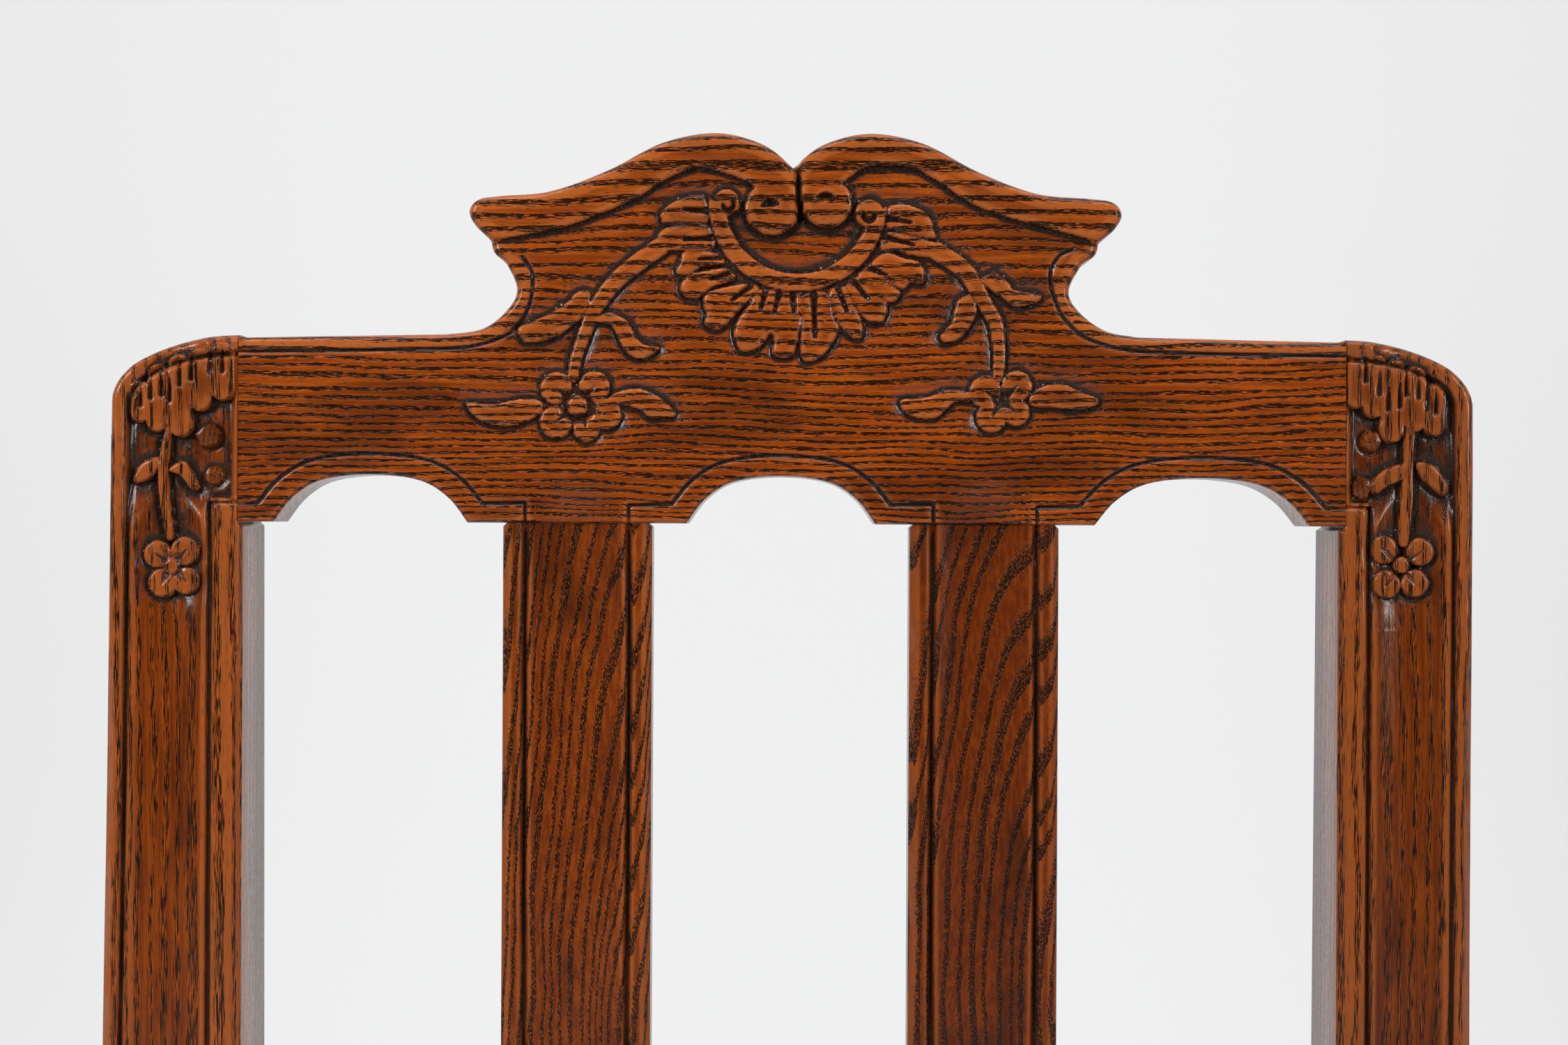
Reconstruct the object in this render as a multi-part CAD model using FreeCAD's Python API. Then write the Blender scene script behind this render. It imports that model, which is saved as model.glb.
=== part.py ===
"""Side chair with a carved crest rail, two moulded back slats and a lift-out seat. Millimetres.

X runs across the chair, -Y is the front, +Z is up. The origin is on the floor, under the middle
of the chair. Left and right are as seen from the front. The raked upper back is worked out in its
own frame, laid on the front of the stiles: x across, y into the wood, z up the slope.
"""
import FreeCAD, Part
import math
import os

from FreeCAD import Placement, Rotation, Vector

# Overall
back_width = 450.0             # over the outer faces of the stiles
front_width = 488.0            # over the outer faces of the front posts
seat_depth = 388.0             # front of the front posts to front of the stiles
seat_rail_top = 430.0          # floor to the top of the seat rails
back_rake = 7.0                # lean of the back from upright, degrees

# Rear legs, each in one piece with its stile
stile_width = 42.0
leg_depth_at_seat = 46.0
leg_depth_at_top = 36.0
leg_depth_at_foot = 34.0
rear_kick = 45.0               # the foot stands this far behind the seat
bend_radius = 500.0            # bend from upright to raked
bend_margin = 10.0             # upright length beyond the seat rails
stile_rise = 436.0             # straight raked length above the bend
stile_corner_drop = 22.0       # height of the rounded outer top corner
stile_proud = 0.8              # the stile tops stand above the crest shoulders
outer_bead = 5.6
inner_bead = 8.6
quirk_width = 1.5
quirk_depth = 1.4
hollow_depth = 2.8
arris_round = 2.5

# Crest rail
crest_thickness = 26.0
crest_shoulder = 61.0          # height at the stiles
crest_height = 129.5           # height at the tops of the scrolls
eave_half = 107.2              # middle of the crest to the tip of either eave
arch_margin = 11.5             # foot of an arch to the edge of the slat or stile beside it
arch_rise = 15.8
arch_shape = ((0, 0), (0.1, 0.52), (0.25, 0.88), (0.5, 1), (0.75, 0.88), (0.9, 0.52), (1, 0))
crest_tenon_length = 27.0
crest_peg_inset = 7.8          # from the joint line
crest_peg_low = 15.0           # above the bottom of the crest
crest_peg_high = 28.5
crest_peg_sunk = 0.6           # heads below the face, above the carved ground

# Carving: forms left standing in a ground that is sunk around them
carving_depth = 1.6            # on the crest
carving_moat = 3.0             # ground cleared round each form
stile_carving_depth = 2.4
carved_foot = -0.47            # lower end on the stiles, in crest shoulders from the crest bottom
shell_lobes = 14
scroll_inner = 0.223           # radii of the C-scroll, in eave halves
scroll_outer = 0.274
scroll_sides = 14

# Slats and lower back rail
slat_width = 49.5
slat_thickness = 16.0
slat_setback = 1.5             # behind the face of the crest
slat_spacing = 135.0           # between the two middles
slat_offset = -3.5             # the pair stands off the middle
slat_bead = 7.6
slat_tenon_length = 16.0
lower_rail_height = 46.0
lower_rail_lift = 12.0         # above the bend
lower_rail_thickness = 22.0
lower_arch_rise = 9.0

# Seat frame
post_size = 44.0               # square post of a front leg
leg_steps = 18                 # sections of the curved front leg
rail_height = 68.0
rail_thickness = 26.0
rail_setback = 2.0             # behind the faces of the posts
rear_rail_height = 60.0
rear_rail_thickness = 22.0     # behind the front of the stiles
rear_ledge = 16.0              # in front of the stiles
lip_width = 10.0               # wood left outside the seat
rebate_depth = 22.0
apron_arch_rise = 16.0
apron_arch_margin = 26.0
block_arm = 38.0               # corner blocks, along each rail
block_clear = 5.0

# Stretchers
stretcher_height = 150.0       # floor to the middle
stretcher_width = 22.0
stretcher_depth = 28.0
stretcher_tenon = 12.0
stretcher_round = 4.0
cross_height_share = 0.72      # of the side stretchers
housing_depth = 2.0            # of the cross stretcher in the side stretchers
cross_tenon = 10.0
cross_place = 0.52             # along the side stretchers, from the front

# Joints
tenon_thickness = 9.0
tenon_inset = 9.0              # from the outer face
tenon_shoulder = 8.0
tenon_wall = 2.0               # wood between two tenons that meet in one leg
joint_gap = 0.2
peg_sides = 8                  # pegs are split and whittled, not turned
peg_radius = 4.2               # to the corners
small_peg_radius = 3.6
peg_gap = 0.15
peg_end = 0.3                  # above the wood
peg_past = 1.0                 # beyond the tenon it holds

# Lift-out seat
seat_gap = 1.5
seat_corner = 9.0
corner_sides = 4               # straight pieces in a rounded corner of the seat
slip_width = 46.0
slip_thickness = 18.0
slip_tenon_length = 24.0
cover_thickness = 1.6
cover_turn = 22.0              # width turned in under the frame
seat_crown = 34.0              # height of the stuffing
crown_side = 0.28              # share of that height in its upright sides
crown_reach = 75.0             # width of the domed edge, all round
crown_steps = 4
stuffing_gap = 0.4
strap_width = 50.0
strap_thickness = 1.2
strap_inset = 12.0
hessian_thickness = 0.8

# Worked out
half_back = back_width / 2
half_front = front_width / 2
joint_x = half_back - stile_width
rake = math.radians(back_rake)
rail_bottom = seat_rail_top - rail_height
ledge_z = seat_rail_top - rebate_depth
bend_low = rail_bottom - bend_margin
bend_high = seat_rail_top + bend_margin
bend_end = Vector(0, bend_radius * (1 - math.cos(rake)), bend_high + bend_radius * math.sin(rake))
back_frame = Placement(bend_end, Rotation(Vector(1, 0, 0), -back_rake))
crest_base = stile_rise - stile_proud - crest_shoulder
lower_top = lower_rail_lift + lower_rail_height
slat_middles = (slat_offset - slat_spacing / 2, slat_offset + slat_spacing / 2)
post_inner = half_front - post_size
run = seat_depth - post_size
cross_depth = cross_height_share * stretcher_depth
front_rail_face = -(seat_depth - rail_setback)
front_rail_inner = front_rail_face + rail_thickness
well_front = front_rail_face + lip_width
tenon_zs = (rail_bottom + tenon_shoulder, ledge_z - tenon_shoulder / 2)
slip_inset = lip_width + seat_gap + cover_thickness
slip_rear = -(seat_gap + cover_thickness)
slip_front = well_front + seat_gap + cover_thickness
slip_z = ledge_z + cover_thickness
slip_top = slip_z + slip_thickness
hessian_z = slip_top + 2 * strap_thickness
stuffing_z = hessian_z + hessian_thickness


def block(xs, ys, zs, grow=0.0):
    """Box between pairs of limits, with every face moved out by grow."""
    low = Vector(min(xs) - grow, min(ys) - grow, min(zs) - grow)
    return Part.makeBox(abs(xs[1] - xs[0]) + 2 * grow, abs(ys[1] - ys[0]) + 2 * grow,
                        abs(zs[1] - zs[0]) + 2 * grow, low)


def line(a, b):
    return Part.makeLine(a, b)


def arc(a, b, c):
    return Part.Arc(a, b, c).toShape()


def curve(points):
    spline = Part.BSplineCurve()
    spline.interpolate(points)
    return spline.toShape()


def prism(edges, direction):
    return Part.Face(Part.Wire(edges)).extrude(direction)


def plan(points, zs):
    """Upright prism on a plan polygon of (x, y) points."""
    corners = [Vector(x, y, zs[0]) for x, y in points]
    return prism(Part.makePolygon(corners + corners[:1]).Edges, Vector(0, 0, zs[1] - zs[0]))


def rod(start, direction, length, radius):
    return Part.makeCylinder(radius, length, start, direction)


def peg(start, direction, length, radius):
    """Whittled peg or, with its clearance, the hole it sits in."""
    turn = Rotation(Vector(0, 0, 1), direction)
    corners = []
    for n in range(peg_sides):
        angle = 2 * math.pi * (n + 0.5) / peg_sides
        corners.append(start + turn.multVec(Vector(radius * math.cos(angle), radius * math.sin(angle), 0)))
    return prism(Part.makePolygon(corners + corners[:1]).Edges, direction * length)


def mirrored(shape):
    return shape.mirror(Vector(0, 0, 0), Vector(1, 0, 0))


def both(shapes):
    return list(shapes) + [mirrored(shape) for shape in shapes]


def lay_back(shape):
    """Move a shape from the frame of the raked back to the chair."""
    laid = shape.copy()
    laid.Placement = back_frame.multiply(shape.Placement)
    return laid


def joined(shape, pieces):
    return shape.fuse(pieces).removeSplitter()


def side_x(y, inset):
    """Outer face of the right side rail at depth y, moved in by inset."""
    splay = (half_front - half_back) / run
    return half_back - rail_setback - splay * y - inset * math.hypot(1, splay)


# Pegs and their holes

def back_pegs(radius, heights, head):
    """Pegs of the right stile, driven in from the front with their heads at a depth."""
    length = 0.78 * leg_depth_at_top - head
    spots = [Vector(joint_x + crest_peg_inset, head, z) for z in heights]
    return [lay_back(peg(spot, Vector(0, 1, 0), length, radius)) for spot in spots]


def crest_pegs(radius):
    heights = (crest_base + crest_peg_low, crest_base + crest_peg_high)
    return back_pegs(radius, heights, crest_peg_sunk)


def lower_rail_pegs(radius):
    return back_pegs(radius, (lower_rail_lift + lower_rail_height / 2,), -peg_end)


def tenon_heights():
    low, high = tenon_zs
    return (low + 0.25 * (high - low), low + 0.75 * (high - low))


def front_leg_pegs(radius):
    """Pegs of the right front post: two into the front rail, two into the side rail."""
    across = post_inner + 0.5 * front_tenon_length()
    along = -run - 0.5 * side_tenon_length()
    deep = rail_setback + tenon_inset + tenon_thickness + peg_past
    pegs = []
    for z in tenon_heights():
        pegs.append(peg(Vector(across, -seat_depth - peg_end, z), Vector(0, 1, 0), deep, radius))
        pegs.append(peg(Vector(half_front + peg_end, along, z), Vector(-1, 0, 0), deep, radius))
    return pegs


def rear_leg_pegs(radius):
    """Pegs of the right rear leg: two into the side rail, one into the rear rail."""
    along = 0.5 * side_tenon_length()
    deep = rail_setback + tenon_inset + tenon_thickness + peg_past
    pegs = [peg(Vector(half_back + peg_end, along, z), Vector(-1, 0, 0), deep, radius)
            for z in tenon_heights()]
    middle = Vector(joint_x + 0.5 * rear_tenon_length(), leg_depth_at_seat + peg_end, sum(tenon_zs) / 2)
    pegs.append(peg(middle, Vector(0, -1, 0), leg_depth_at_seat - tenon_inset / 2, radius))
    return pegs


def front_tenon_length():
    return post_size - rail_setback - tenon_inset - tenon_thickness - tenon_wall


def side_tenon_length():
    return post_size - rail_setback - tenon_inset - tenon_thickness - tenon_wall


def rear_tenon_length():
    return stile_width - rail_setback - tenon_inset - tenon_thickness - tenon_wall


# Tenons, also used as the cutters of their mortises

def crest_tenon(grow=0.0):
    middle = crest_thickness / 2
    ys = (middle - tenon_thickness / 2, middle + tenon_thickness / 2)
    zs = (crest_base + tenon_shoulder, crest_base + crest_shoulder - 1.4 * tenon_shoulder)
    return lay_back(block((joint_x, joint_x + crest_tenon_length), ys, zs, grow))


def lower_rail_tenon(grow=0.0):
    middle = lower_rail_thickness / 2
    ys = (middle - tenon_thickness / 2, middle + tenon_thickness / 2)
    zs = (lower_rail_lift + tenon_shoulder, lower_top - tenon_shoulder)
    return lay_back(block((joint_x, joint_x + crest_tenon_length), ys, zs, grow))


def rear_rail_tenon(grow=0.0):
    ys = (tenon_inset, tenon_inset + tenon_thickness)
    return block((joint_x, joint_x + rear_tenon_length()), ys, tenon_zs, grow)


def front_rail_tenon(grow=0.0):
    ys = (front_rail_face + tenon_inset, front_rail_face + tenon_inset + tenon_thickness)
    return block((post_inner, post_inner + front_tenon_length()), ys, tenon_zs, grow)


def side_rail_tenon(y, outward, grow=0.0):
    xs = (side_x(y, tenon_inset + tenon_thickness), side_x(y, tenon_inset))
    return block(xs, (y, y + outward * side_tenon_length()), tenon_zs, grow)


def slat_tenon(middle, foot, grow=0.0):
    half = slat_width / 2 - slat_bead
    centre = slat_setback + slat_thickness / 2
    ys = (centre - tenon_thickness / 2 + 1, centre + tenon_thickness / 2)
    return block((middle - half, middle + half), ys, (foot, foot + slat_tenon_length), grow)


# Carved forms, drawn flat on the face of the back

def flat(points):
    """Face through (x, z) points."""
    corners = [Vector(x, 0, z) for x, z in points]
    return Part.Face(Part.makePolygon(corners + corners[:1]))


def disc(x, z, radius):
    spokes = [math.pi * (n + 0.5) / 4 for n in range(8)]
    return flat([(x + radius * math.cos(a), z + radius * math.sin(a)) for a in spokes])


def strip(nodes, grow=0.0):
    """Face along a line of (x, z, half width) nodes, grown all round."""
    left = []
    right = []
    last = len(nodes) - 1
    for n, (x, z, half) in enumerate(nodes):
        before = nodes[max(n - 1, 0)]
        after = nodes[min(n + 1, last)]
        way = Vector(after[0] - before[0], 0, after[1] - before[1]).normalize()
        push = way * grow * ((n == last) - (n == 0))
        reach = half + grow
        left.append((x + push.x - way.z * reach, z + push.z + way.x * reach))
        right.append((x + push.x + way.z * reach, z + push.z - way.x * reach))
    return flat(left + right[::-1])


def sunk(ground, forms, depth):
    """Wood to take away so that the ground sinks and the forms stay standing."""
    floor = ground[0].fuse(ground[1:]) if len(ground) > 1 else ground[0]
    floor = floor.removeSplitter().cut(forms)
    floor.translate(Vector(0, -1, 0))
    return floor.extrude(Vector(0, depth + 1, 0))


def crest_spot(f, g):
    """Place on the crest, across in eave halves and up in crest heights."""
    return f * eave_half, crest_base + g * crest_height


def crest_nodes(*nodes):
    return [crest_spot(f, g) + (half * eave_half,) for f, g, half in nodes]


def spray_left():
    """Stem, leaves and the petals and button of the flower."""
    strips = [
        crest_nodes((-0.41, 0.707, 0.026), (-0.555, 0.61, 0.024), (-0.63, 0.51, 0.02), (-0.676, 0.37, 0.017)),
        crest_nodes((-0.634, 0.571, 0.02), (-0.728, 0.51, 0.04), (-0.835, 0.479, 0.015)),
        crest_nodes((-0.606, 0.521, 0.012), (-0.522, 0.487, 0.028), (-0.43, 0.44, 0.01)),
        crest_nodes((-0.784, 0.296, 0.018), (-0.877, 0.282, 0.038), (-0.993, 0.294, 0.008)),
        crest_nodes((-0.55, 0.317, 0.01), (-0.466, 0.317, 0.03), (-0.368, 0.282, 0.01)),
    ]
    petals = ((-0.728, 0.344), (-0.611, 0.347), (-0.576, 0.278), (-0.634, 0.243), (-0.728, 0.259))
    return strips, [(*crest_spot(*petal), 0.048 * eave_half) for petal in petals + ((-0.662, 0.299),)]


def spray_right():
    strips = [
        crest_nodes((0.443, 0.699, 0.026), (0.574, 0.595, 0.024), (0.63, 0.51, 0.021), (0.636, 0.37, 0.017)),
        crest_nodes((0.555, 0.571, 0.012), (0.522, 0.517, 0.03), (0.471, 0.475, 0.012)),
        crest_nodes((0.588, 0.618, 0.012), (0.644, 0.61, 0.03), (0.756, 0.579, 0.01)),
        crest_nodes((0.546, 0.327, 0.01), (0.438, 0.305, 0.035), (0.345, 0.305, 0.015)),
        crest_nodes((0.742, 0.319, 0.015), (0.84, 0.327, 0.035), (0.942, 0.319, 0.006)),
    ]
    petals = ((0.597, 0.34), (0.693, 0.355), (0.69, 0.29), (0.616, 0.276), (0.646, 0.316))
    return strips, [(*crest_spot(*petal), 0.046 * eave_half) for petal in petals]


def around(angle, radius):
    """Point around the middle of the C-scroll, radius in eave halves."""
    x, z = crest_spot(0.014, 0.822)
    turn = math.radians(angle)
    return x + radius * eave_half * math.cos(turn), z + radius * eave_half * math.sin(turn)


def scroll_arc(radius):
    return [around(180 + 175 * n / scroll_sides, radius) for n in range(scroll_sides + 1)]


def shell(grow=0.0):
    """Lobes fanned out below the C-scroll."""
    pitch = 163 / (shell_lobes - 1)
    wider = math.degrees(grow / (0.4 * eave_half))
    lobes = []
    for n in range(shell_lobes):
        angle = 186 + pitch * n
        reach = 0.425 + 0.06 * math.sin(math.radians(angle - 180)) + grow / eave_half
        half = 0.43 * pitch + wider
        rim = ((-half, 0.86 * reach), (-0.55 * half, 0.98 * reach), (0, reach), (0.55 * half, 0.98 * reach),
               (half, 0.86 * reach))
        roots = ((0.86 * half, scroll_inner), (-0.86 * half, scroll_inner))
        lobes.append(flat([around(angle + turn, radius) for turn, radius in rim + roots]))
    return lobes


def cornice():
    """Band along the upper edge with the two volutes it ends in."""
    left = ((-1.05, 0.7), (-0.961, 0.718), (-0.695, 0.761), (-0.48, 0.834), (-0.354, 0.896),
            (-0.261, 0.907), (-0.145, 0.876), (-0.065, 0.807))
    right = ((0.105, 0.822), (0.168, 0.884), (0.308, 0.919), (0.452, 0.876), (0.644, 0.792),
             (0.961, 0.722), (1.05, 0.7))
    band = flat([crest_spot(*point) for point in left + right + ((1.1, 1.1), (-1.1, 1.1))])
    hems = [[crest_spot(*point) + (quirk_width / 2,) for point in half] for half in (left[1:-1], right[1:-1])]
    volutes = [disc(*crest_spot(-0.065, 0.807), 0.081 * eave_half),
               disc(*crest_spot(0.105, 0.822), 0.075 * eave_half)]
    return [band] + volutes, hems


def crest_carving():
    """Shell, C-scroll, volutes and flower sprays."""
    band, hems = cornice()
    heads = [disc(*crest_spot(f, g), 0.041 * eave_half) for f, g in ((-0.205, 0.821), (0.236, 0.795))]
    ring = flat(scroll_arc(scroll_outer) + scroll_arc(scroll_inner)[::-1])
    forms = shell() + [ring] + heads + band
    ground = shell(carving_moat) + [flat(scroll_arc(scroll_outer))]
    ground += [strip(hem, carving_moat / 2) for hem in hems]
    ground.append(disc(*crest_spot(0.02, 0.83), scroll_outer * eave_half))
    for strips, petals in (spray_left(), spray_right()):
        forms += [strip(nodes) for nodes in strips] + [disc(*petal) for petal in petals]
        ground += [strip(nodes, carving_moat) for nodes in strips]
        ground += [disc(x, z, radius + carving_moat) for x, z, radius in petals]
    return sunk(ground, forms, carving_depth)


def crest_lines():
    """Cut lines over the arches and inside the shoulders."""
    half = quirk_width / 2
    ends = [-joint_x]
    for middle in slat_middles:
        ends += [middle - slat_width / 2 + slat_bead, middle + slat_width / 2 - slat_bead]
    ends.append(joint_x)
    level = crest_base + 0.4 * arch_rise
    lines = []
    for n, (low, high) in enumerate(back_gaps()):
        wide = (high - low) * 1.14
        start = (low + high - wide) / 2
        nodes = [(start + f * wide, level + g * arch_rise, half) for f, g in arch_shape]
        lines.append([(ends[2 * n], level, half)] + nodes + [(ends[2 * n + 1], level, half)])
    neck = ((1.07, 0.446), (0.933, 0.463), (0.854, 0.498), (0.812, 0.556), (0.802, 0.618), (0.83, 0.676))
    for side in (-1, 1):
        nodes = [crest_spot(side * f, g) + (half,) for f, g in neck]
        lines.append([(side * joint_x, nodes[0][1], half)] + nodes)
    return [sunk([strip(nodes)], [], quirk_depth) for nodes in lines]


def stile_spot(f, g):
    """Place on the right stile, across in stile widths and up from the crest in shoulder heights."""
    return joint_x + f * stile_width, crest_base + g * crest_shoulder


def stile_nodes(*nodes):
    return [stile_spot(f, g) + (half * stile_width,) for f, g, half in nodes]


def stile_forms():
    """Hanging lobes, and a stem with two leaves and a flower."""
    lobes = ((0.107, 0.9, 0.7), (0.25, 0.9, 0.648), (0.4, 0.88, 0.533), (0.555, 0.83, 0.59), (0.7, 0.75, 0.574))
    forms = []
    for f, top, foot in lobes:
        tail = foot + 0.25 * (top - foot)
        forms.append(strip(stile_nodes((f, top, 0.068), (f - 0.02, tail, 0.072), (f - 0.02, foot, 0.03))))
    strips = [
        stile_nodes((0.5, 0.56, 0.035), (0.5, 0.31, 0.036), (0.48, 0.1, 0.042), (0.46, -0.1, 0.04)),
        stile_nodes((0.49, 0.303, 0.02), (0.38, 0.265, 0.045), (0.3, 0.22, 0.02)),
        stile_nodes((0.51, 0.303, 0.02), (0.68, 0.28, 0.05), (0.79, 0.2, 0.02)),
    ]
    petals = ((0.31, -0.126), (0.6, -0.136), (0.57, -0.305), (0.333, -0.311), (0.455, -0.215))
    return forms + [strip(nodes) for nodes in strips] + [disc(*stile_spot(*petal), 0.1 * stile_width)
                                                         for petal in petals]


def stile_ground():
    """Sunk field inside the beads, under the rounded corner."""
    inner = inner_bead + quirk_width / 2
    outer = stile_width - outer_bead
    turn = crest_base + 0.13 * crest_shoulder
    foot = stile_spot(0, carved_foot)[1]
    shoulder = stile_rise - stile_corner_drop
    rise = stile_corner_drop - outer_bead
    oval = [(joint_x + outer * math.cos(math.pi * n / 12), shoulder + rise * math.sin(math.pi * n / 12))
            for n in range(6)]
    top = (joint_x + quirk_width, shoulder + rise)
    return [flat([(joint_x + inner, foot), (joint_x + outer, foot)] + oval
                 + [top, (joint_x + quirk_width, turn), (joint_x + inner, turn)])]


# Rear legs

def tangent_radius(y0, y1, height):
    """Radius of an arc upright at its top (y1) that reaches y0 a height below."""
    return ((y0 - y1) ** 2 + height ** 2) / (2 * (y0 - y1))


def sweep_point(y1, z1, radius, angle):
    """Point on an arc that is upright at (y1, z1) and turns back with the angle."""
    return Vector(joint_x, y1 + radius * (1 - math.cos(angle)), z1 + radius * math.sin(angle))


def leg_front_y(z):
    """Front of the rear leg below the seat."""
    radius = tangent_radius(rear_kick, 0, bend_low)
    return radius - math.sqrt(radius ** 2 - (bend_low - z) ** 2)


def swept_edge(y1, z1, radius, angle):
    return arc(sweep_point(y1, z1, radius, 0), sweep_point(y1, z1, radius, angle / 2),
               sweep_point(y1, z1, radius, angle))


def leg_blank():
    """Right rear leg and stile, sawn to its side view."""
    top = back_frame.multVec(Vector(joint_x, 0, stile_rise))
    top_back = back_frame.multVec(Vector(joint_x, leg_depth_at_top, stile_rise))
    heel = rear_kick + leg_depth_at_foot
    front_radius = tangent_radius(rear_kick, 0, bend_low)
    back_radius = tangent_radius(heel, leg_depth_at_seat, bend_low)
    front_turn = -math.asin(bend_low / front_radius)
    back_turn = -math.asin(bend_low / back_radius)
    dy = top_back.y - leg_depth_at_seat - bend_radius
    dz = top_back.z - bend_high
    lean = math.atan2(dy, dz) + math.asin(bend_radius / math.hypot(dy, dz))
    bend_front = sweep_point(0, bend_high, bend_radius, rake)
    bend_back = sweep_point(leg_depth_at_seat, bend_high, bend_radius, lean)
    edges = [
        swept_edge(0, bend_low, front_radius, front_turn),
        line(Vector(joint_x, 0, bend_low), Vector(joint_x, 0, bend_high)),
        swept_edge(0, bend_high, bend_radius, rake),
        line(bend_front, top),
        line(top, top_back),
        line(top_back, bend_back),
        swept_edge(leg_depth_at_seat, bend_high, bend_radius, lean),
        line(Vector(joint_x, leg_depth_at_seat, bend_high),
             Vector(joint_x, leg_depth_at_seat, bend_low)),
        swept_edge(leg_depth_at_seat, bend_low, back_radius, back_turn),
        line(Vector(joint_x, rear_kick, 0), Vector(joint_x, heel, 0)),
    ]
    return prism(Part.__sortEdges__(edges), Vector(stile_width, 0, 0))


def corner_cutter():
    """Wood sawn away outside the rounded top corner of the right stile."""
    depth = 2 * leg_depth_at_seat
    foot = stile_rise - stile_corner_drop
    centre = Vector(joint_x, -depth / 2, foot)
    oval = Part.Ellipse(centre + Vector(stile_width, 0, 0), centre + Vector(0, 0, stile_corner_drop), centre)
    quarter = prism([oval.toShape()], Vector(0, depth, 0))
    zone = block((joint_x, half_back + 1), (-depth / 2, depth / 2), (foot, stile_rise + 1))
    return lay_back(zone.cut(quarter))


def quirk(x, zs):
    """V groove up the face of the back."""
    half = quirk_width / 2
    corners = [Vector(x - 2 * half, -quirk_depth, zs[0]), Vector(x + 2 * half, -quirk_depth, zs[0]),
               Vector(x, quirk_depth, zs[0])]
    return prism(Part.makePolygon(corners + corners[:1]).Edges, Vector(0, 0, zs[1] - zs[0]))


def hollow(x0, x1, face, zs):
    """Round-bottomed hollow up the face of the back."""
    half = (x1 - x0) / 2
    radius = (half ** 2 + hollow_depth ** 2) / (2 * hollow_depth)
    axis = Vector(x0 + half, face + hollow_depth - radius, zs[0])
    return rod(axis, Vector(0, 0, 1), zs[1] - zs[0], radius)


def arris(x, inward, face, zs):
    """Wood taken off a front arris to round it."""
    centre = Vector(x + inward * arris_round, face + arris_round, zs[0] - 1)
    corner = block((x - inward, x + inward * arris_round), (face - 1, face + arris_round), zs)
    return corner.cut(rod(centre, Vector(0, 0, 1), zs[1] - zs[0] + 2, arris_round))


def stile_moulding():
    low = -0.12 * stile_rise
    under_crest = crest_base - 0.3
    inner_quirk = joint_x + inner_bead
    outer_quirk = half_back - outer_bead
    foot = stile_spot(0, carved_foot)[1]
    cutters = [
        quirk(inner_quirk, (low, crest_base + 0.1 * crest_shoulder)),
        quirk(outer_quirk, (low, foot)),
        hollow(inner_quirk + quirk_width / 2, outer_quirk - quirk_width / 2, 0, (low, foot)),
        arris(joint_x, 1, 0, (low, under_crest)),
        arris(half_back, -1, 0, (low, stile_rise - stile_corner_drop)),
        sunk(stile_ground(), stile_forms(), stile_carving_depth),
    ]
    return [lay_back(cutter) for cutter in cutters]


def rear_leg():
    mortises = [
        crest_tenon(joint_gap),
        lower_rail_tenon(joint_gap),
        rear_rail_tenon(joint_gap),
        side_rail_tenon(0, 1, joint_gap),
        stretcher_bar(joint_gap),
        stretcher_tenon_bar(joint_gap),
    ]
    holes = crest_pegs(peg_radius + peg_gap) + lower_rail_pegs(small_peg_radius + peg_gap)
    holes += rear_leg_pegs(small_peg_radius + peg_gap) + stretcher_leg_pegs(small_peg_radius + peg_gap)[1:]
    return leg_blank().cut([corner_cutter()] + stile_moulding() + mortises + holes)


# Back

def arch(x0, x1, rise, z):
    """Edge of a flat-topped arch from x0 to x1 on the level z, in the plane y = 0."""
    return curve([Vector(x0 + f * (x1 - x0), 0, z + g * rise) for f, g in arch_shape])


def arched_edge(x0, x1, gaps, rise, z):
    """Lower edge from x0 to x1 with an arch over each gap."""
    edges = []
    at = x0
    for low, high in gaps:
        edges.append(line(Vector(at, 0, z), Vector(low, 0, z)))
        edges.append(arch(low, high, rise, z))
        at = high
    edges.append(line(Vector(at, 0, z), Vector(x1, 0, z)))
    return edges


def back_gaps():
    """Left and right limits of the three arches, between the stiles and the slats."""
    half = slat_width / 2
    left, right = slat_middles
    gaps = ((-joint_x, left - half), (left + half, right - half), (right + half, joint_x))
    return [(low + arch_margin, high - arch_margin) for low, high in gaps]


def pediment_edges(side):
    """One half of the upper outline of the crest, from the stile to the middle notch."""
    rise = crest_height - crest_shoulder

    def spot(f, g):
        return Vector(side * f * eave_half, 0, crest_base + crest_shoulder + g * rise)

    cove = ((1.07, 0.02), (0.955, 0.05), (0.877, 0.15), (0.853, 0.25), (0.89, 0.377))
    eave = ((0.935, 0.48), (0.98, 0.546), (1.0, 0.616), (0.972, 0.673), (0.905, 0.69),
            (0.748, 0.716), (0.572, 0.818), (0.402, 0.953), (0.234, 1.0), (0.089, 0.942), (0.0, 0.83))
    joint = Vector(side * joint_x, 0, crest_base + crest_shoulder)
    return [
        line(joint, spot(*cove[0])),
        curve([spot(f, g) for f, g in cove]),
        arc(spot(*cove[-1]), spot(0.924, 0.418), spot(*eave[0])),
        curve([spot(f, g) for f, g in eave]),
    ]


def crest_rail():
    ends = [line(Vector(x, 0, crest_base), Vector(x, 0, crest_base + crest_shoulder))
            for x in (-joint_x, joint_x)]
    edges = arched_edge(-joint_x, joint_x, back_gaps(), arch_rise, crest_base)
    edges += ends + pediment_edges(-1) + pediment_edges(1)
    board = lay_back(prism(Part.__sortEdges__(edges), Vector(0, crest_thickness, 0)))
    board = joined(board, both([crest_tenon()]))
    mortises = [lay_back(slat_tenon(x, crest_base - joint_gap, joint_gap)) for x in slat_middles]
    carving = [lay_back(cutter) for cutter in [crest_carving()] + crest_lines()]
    return board.cut(mortises + both(crest_pegs(peg_radius + peg_gap))).cut(carving)


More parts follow.
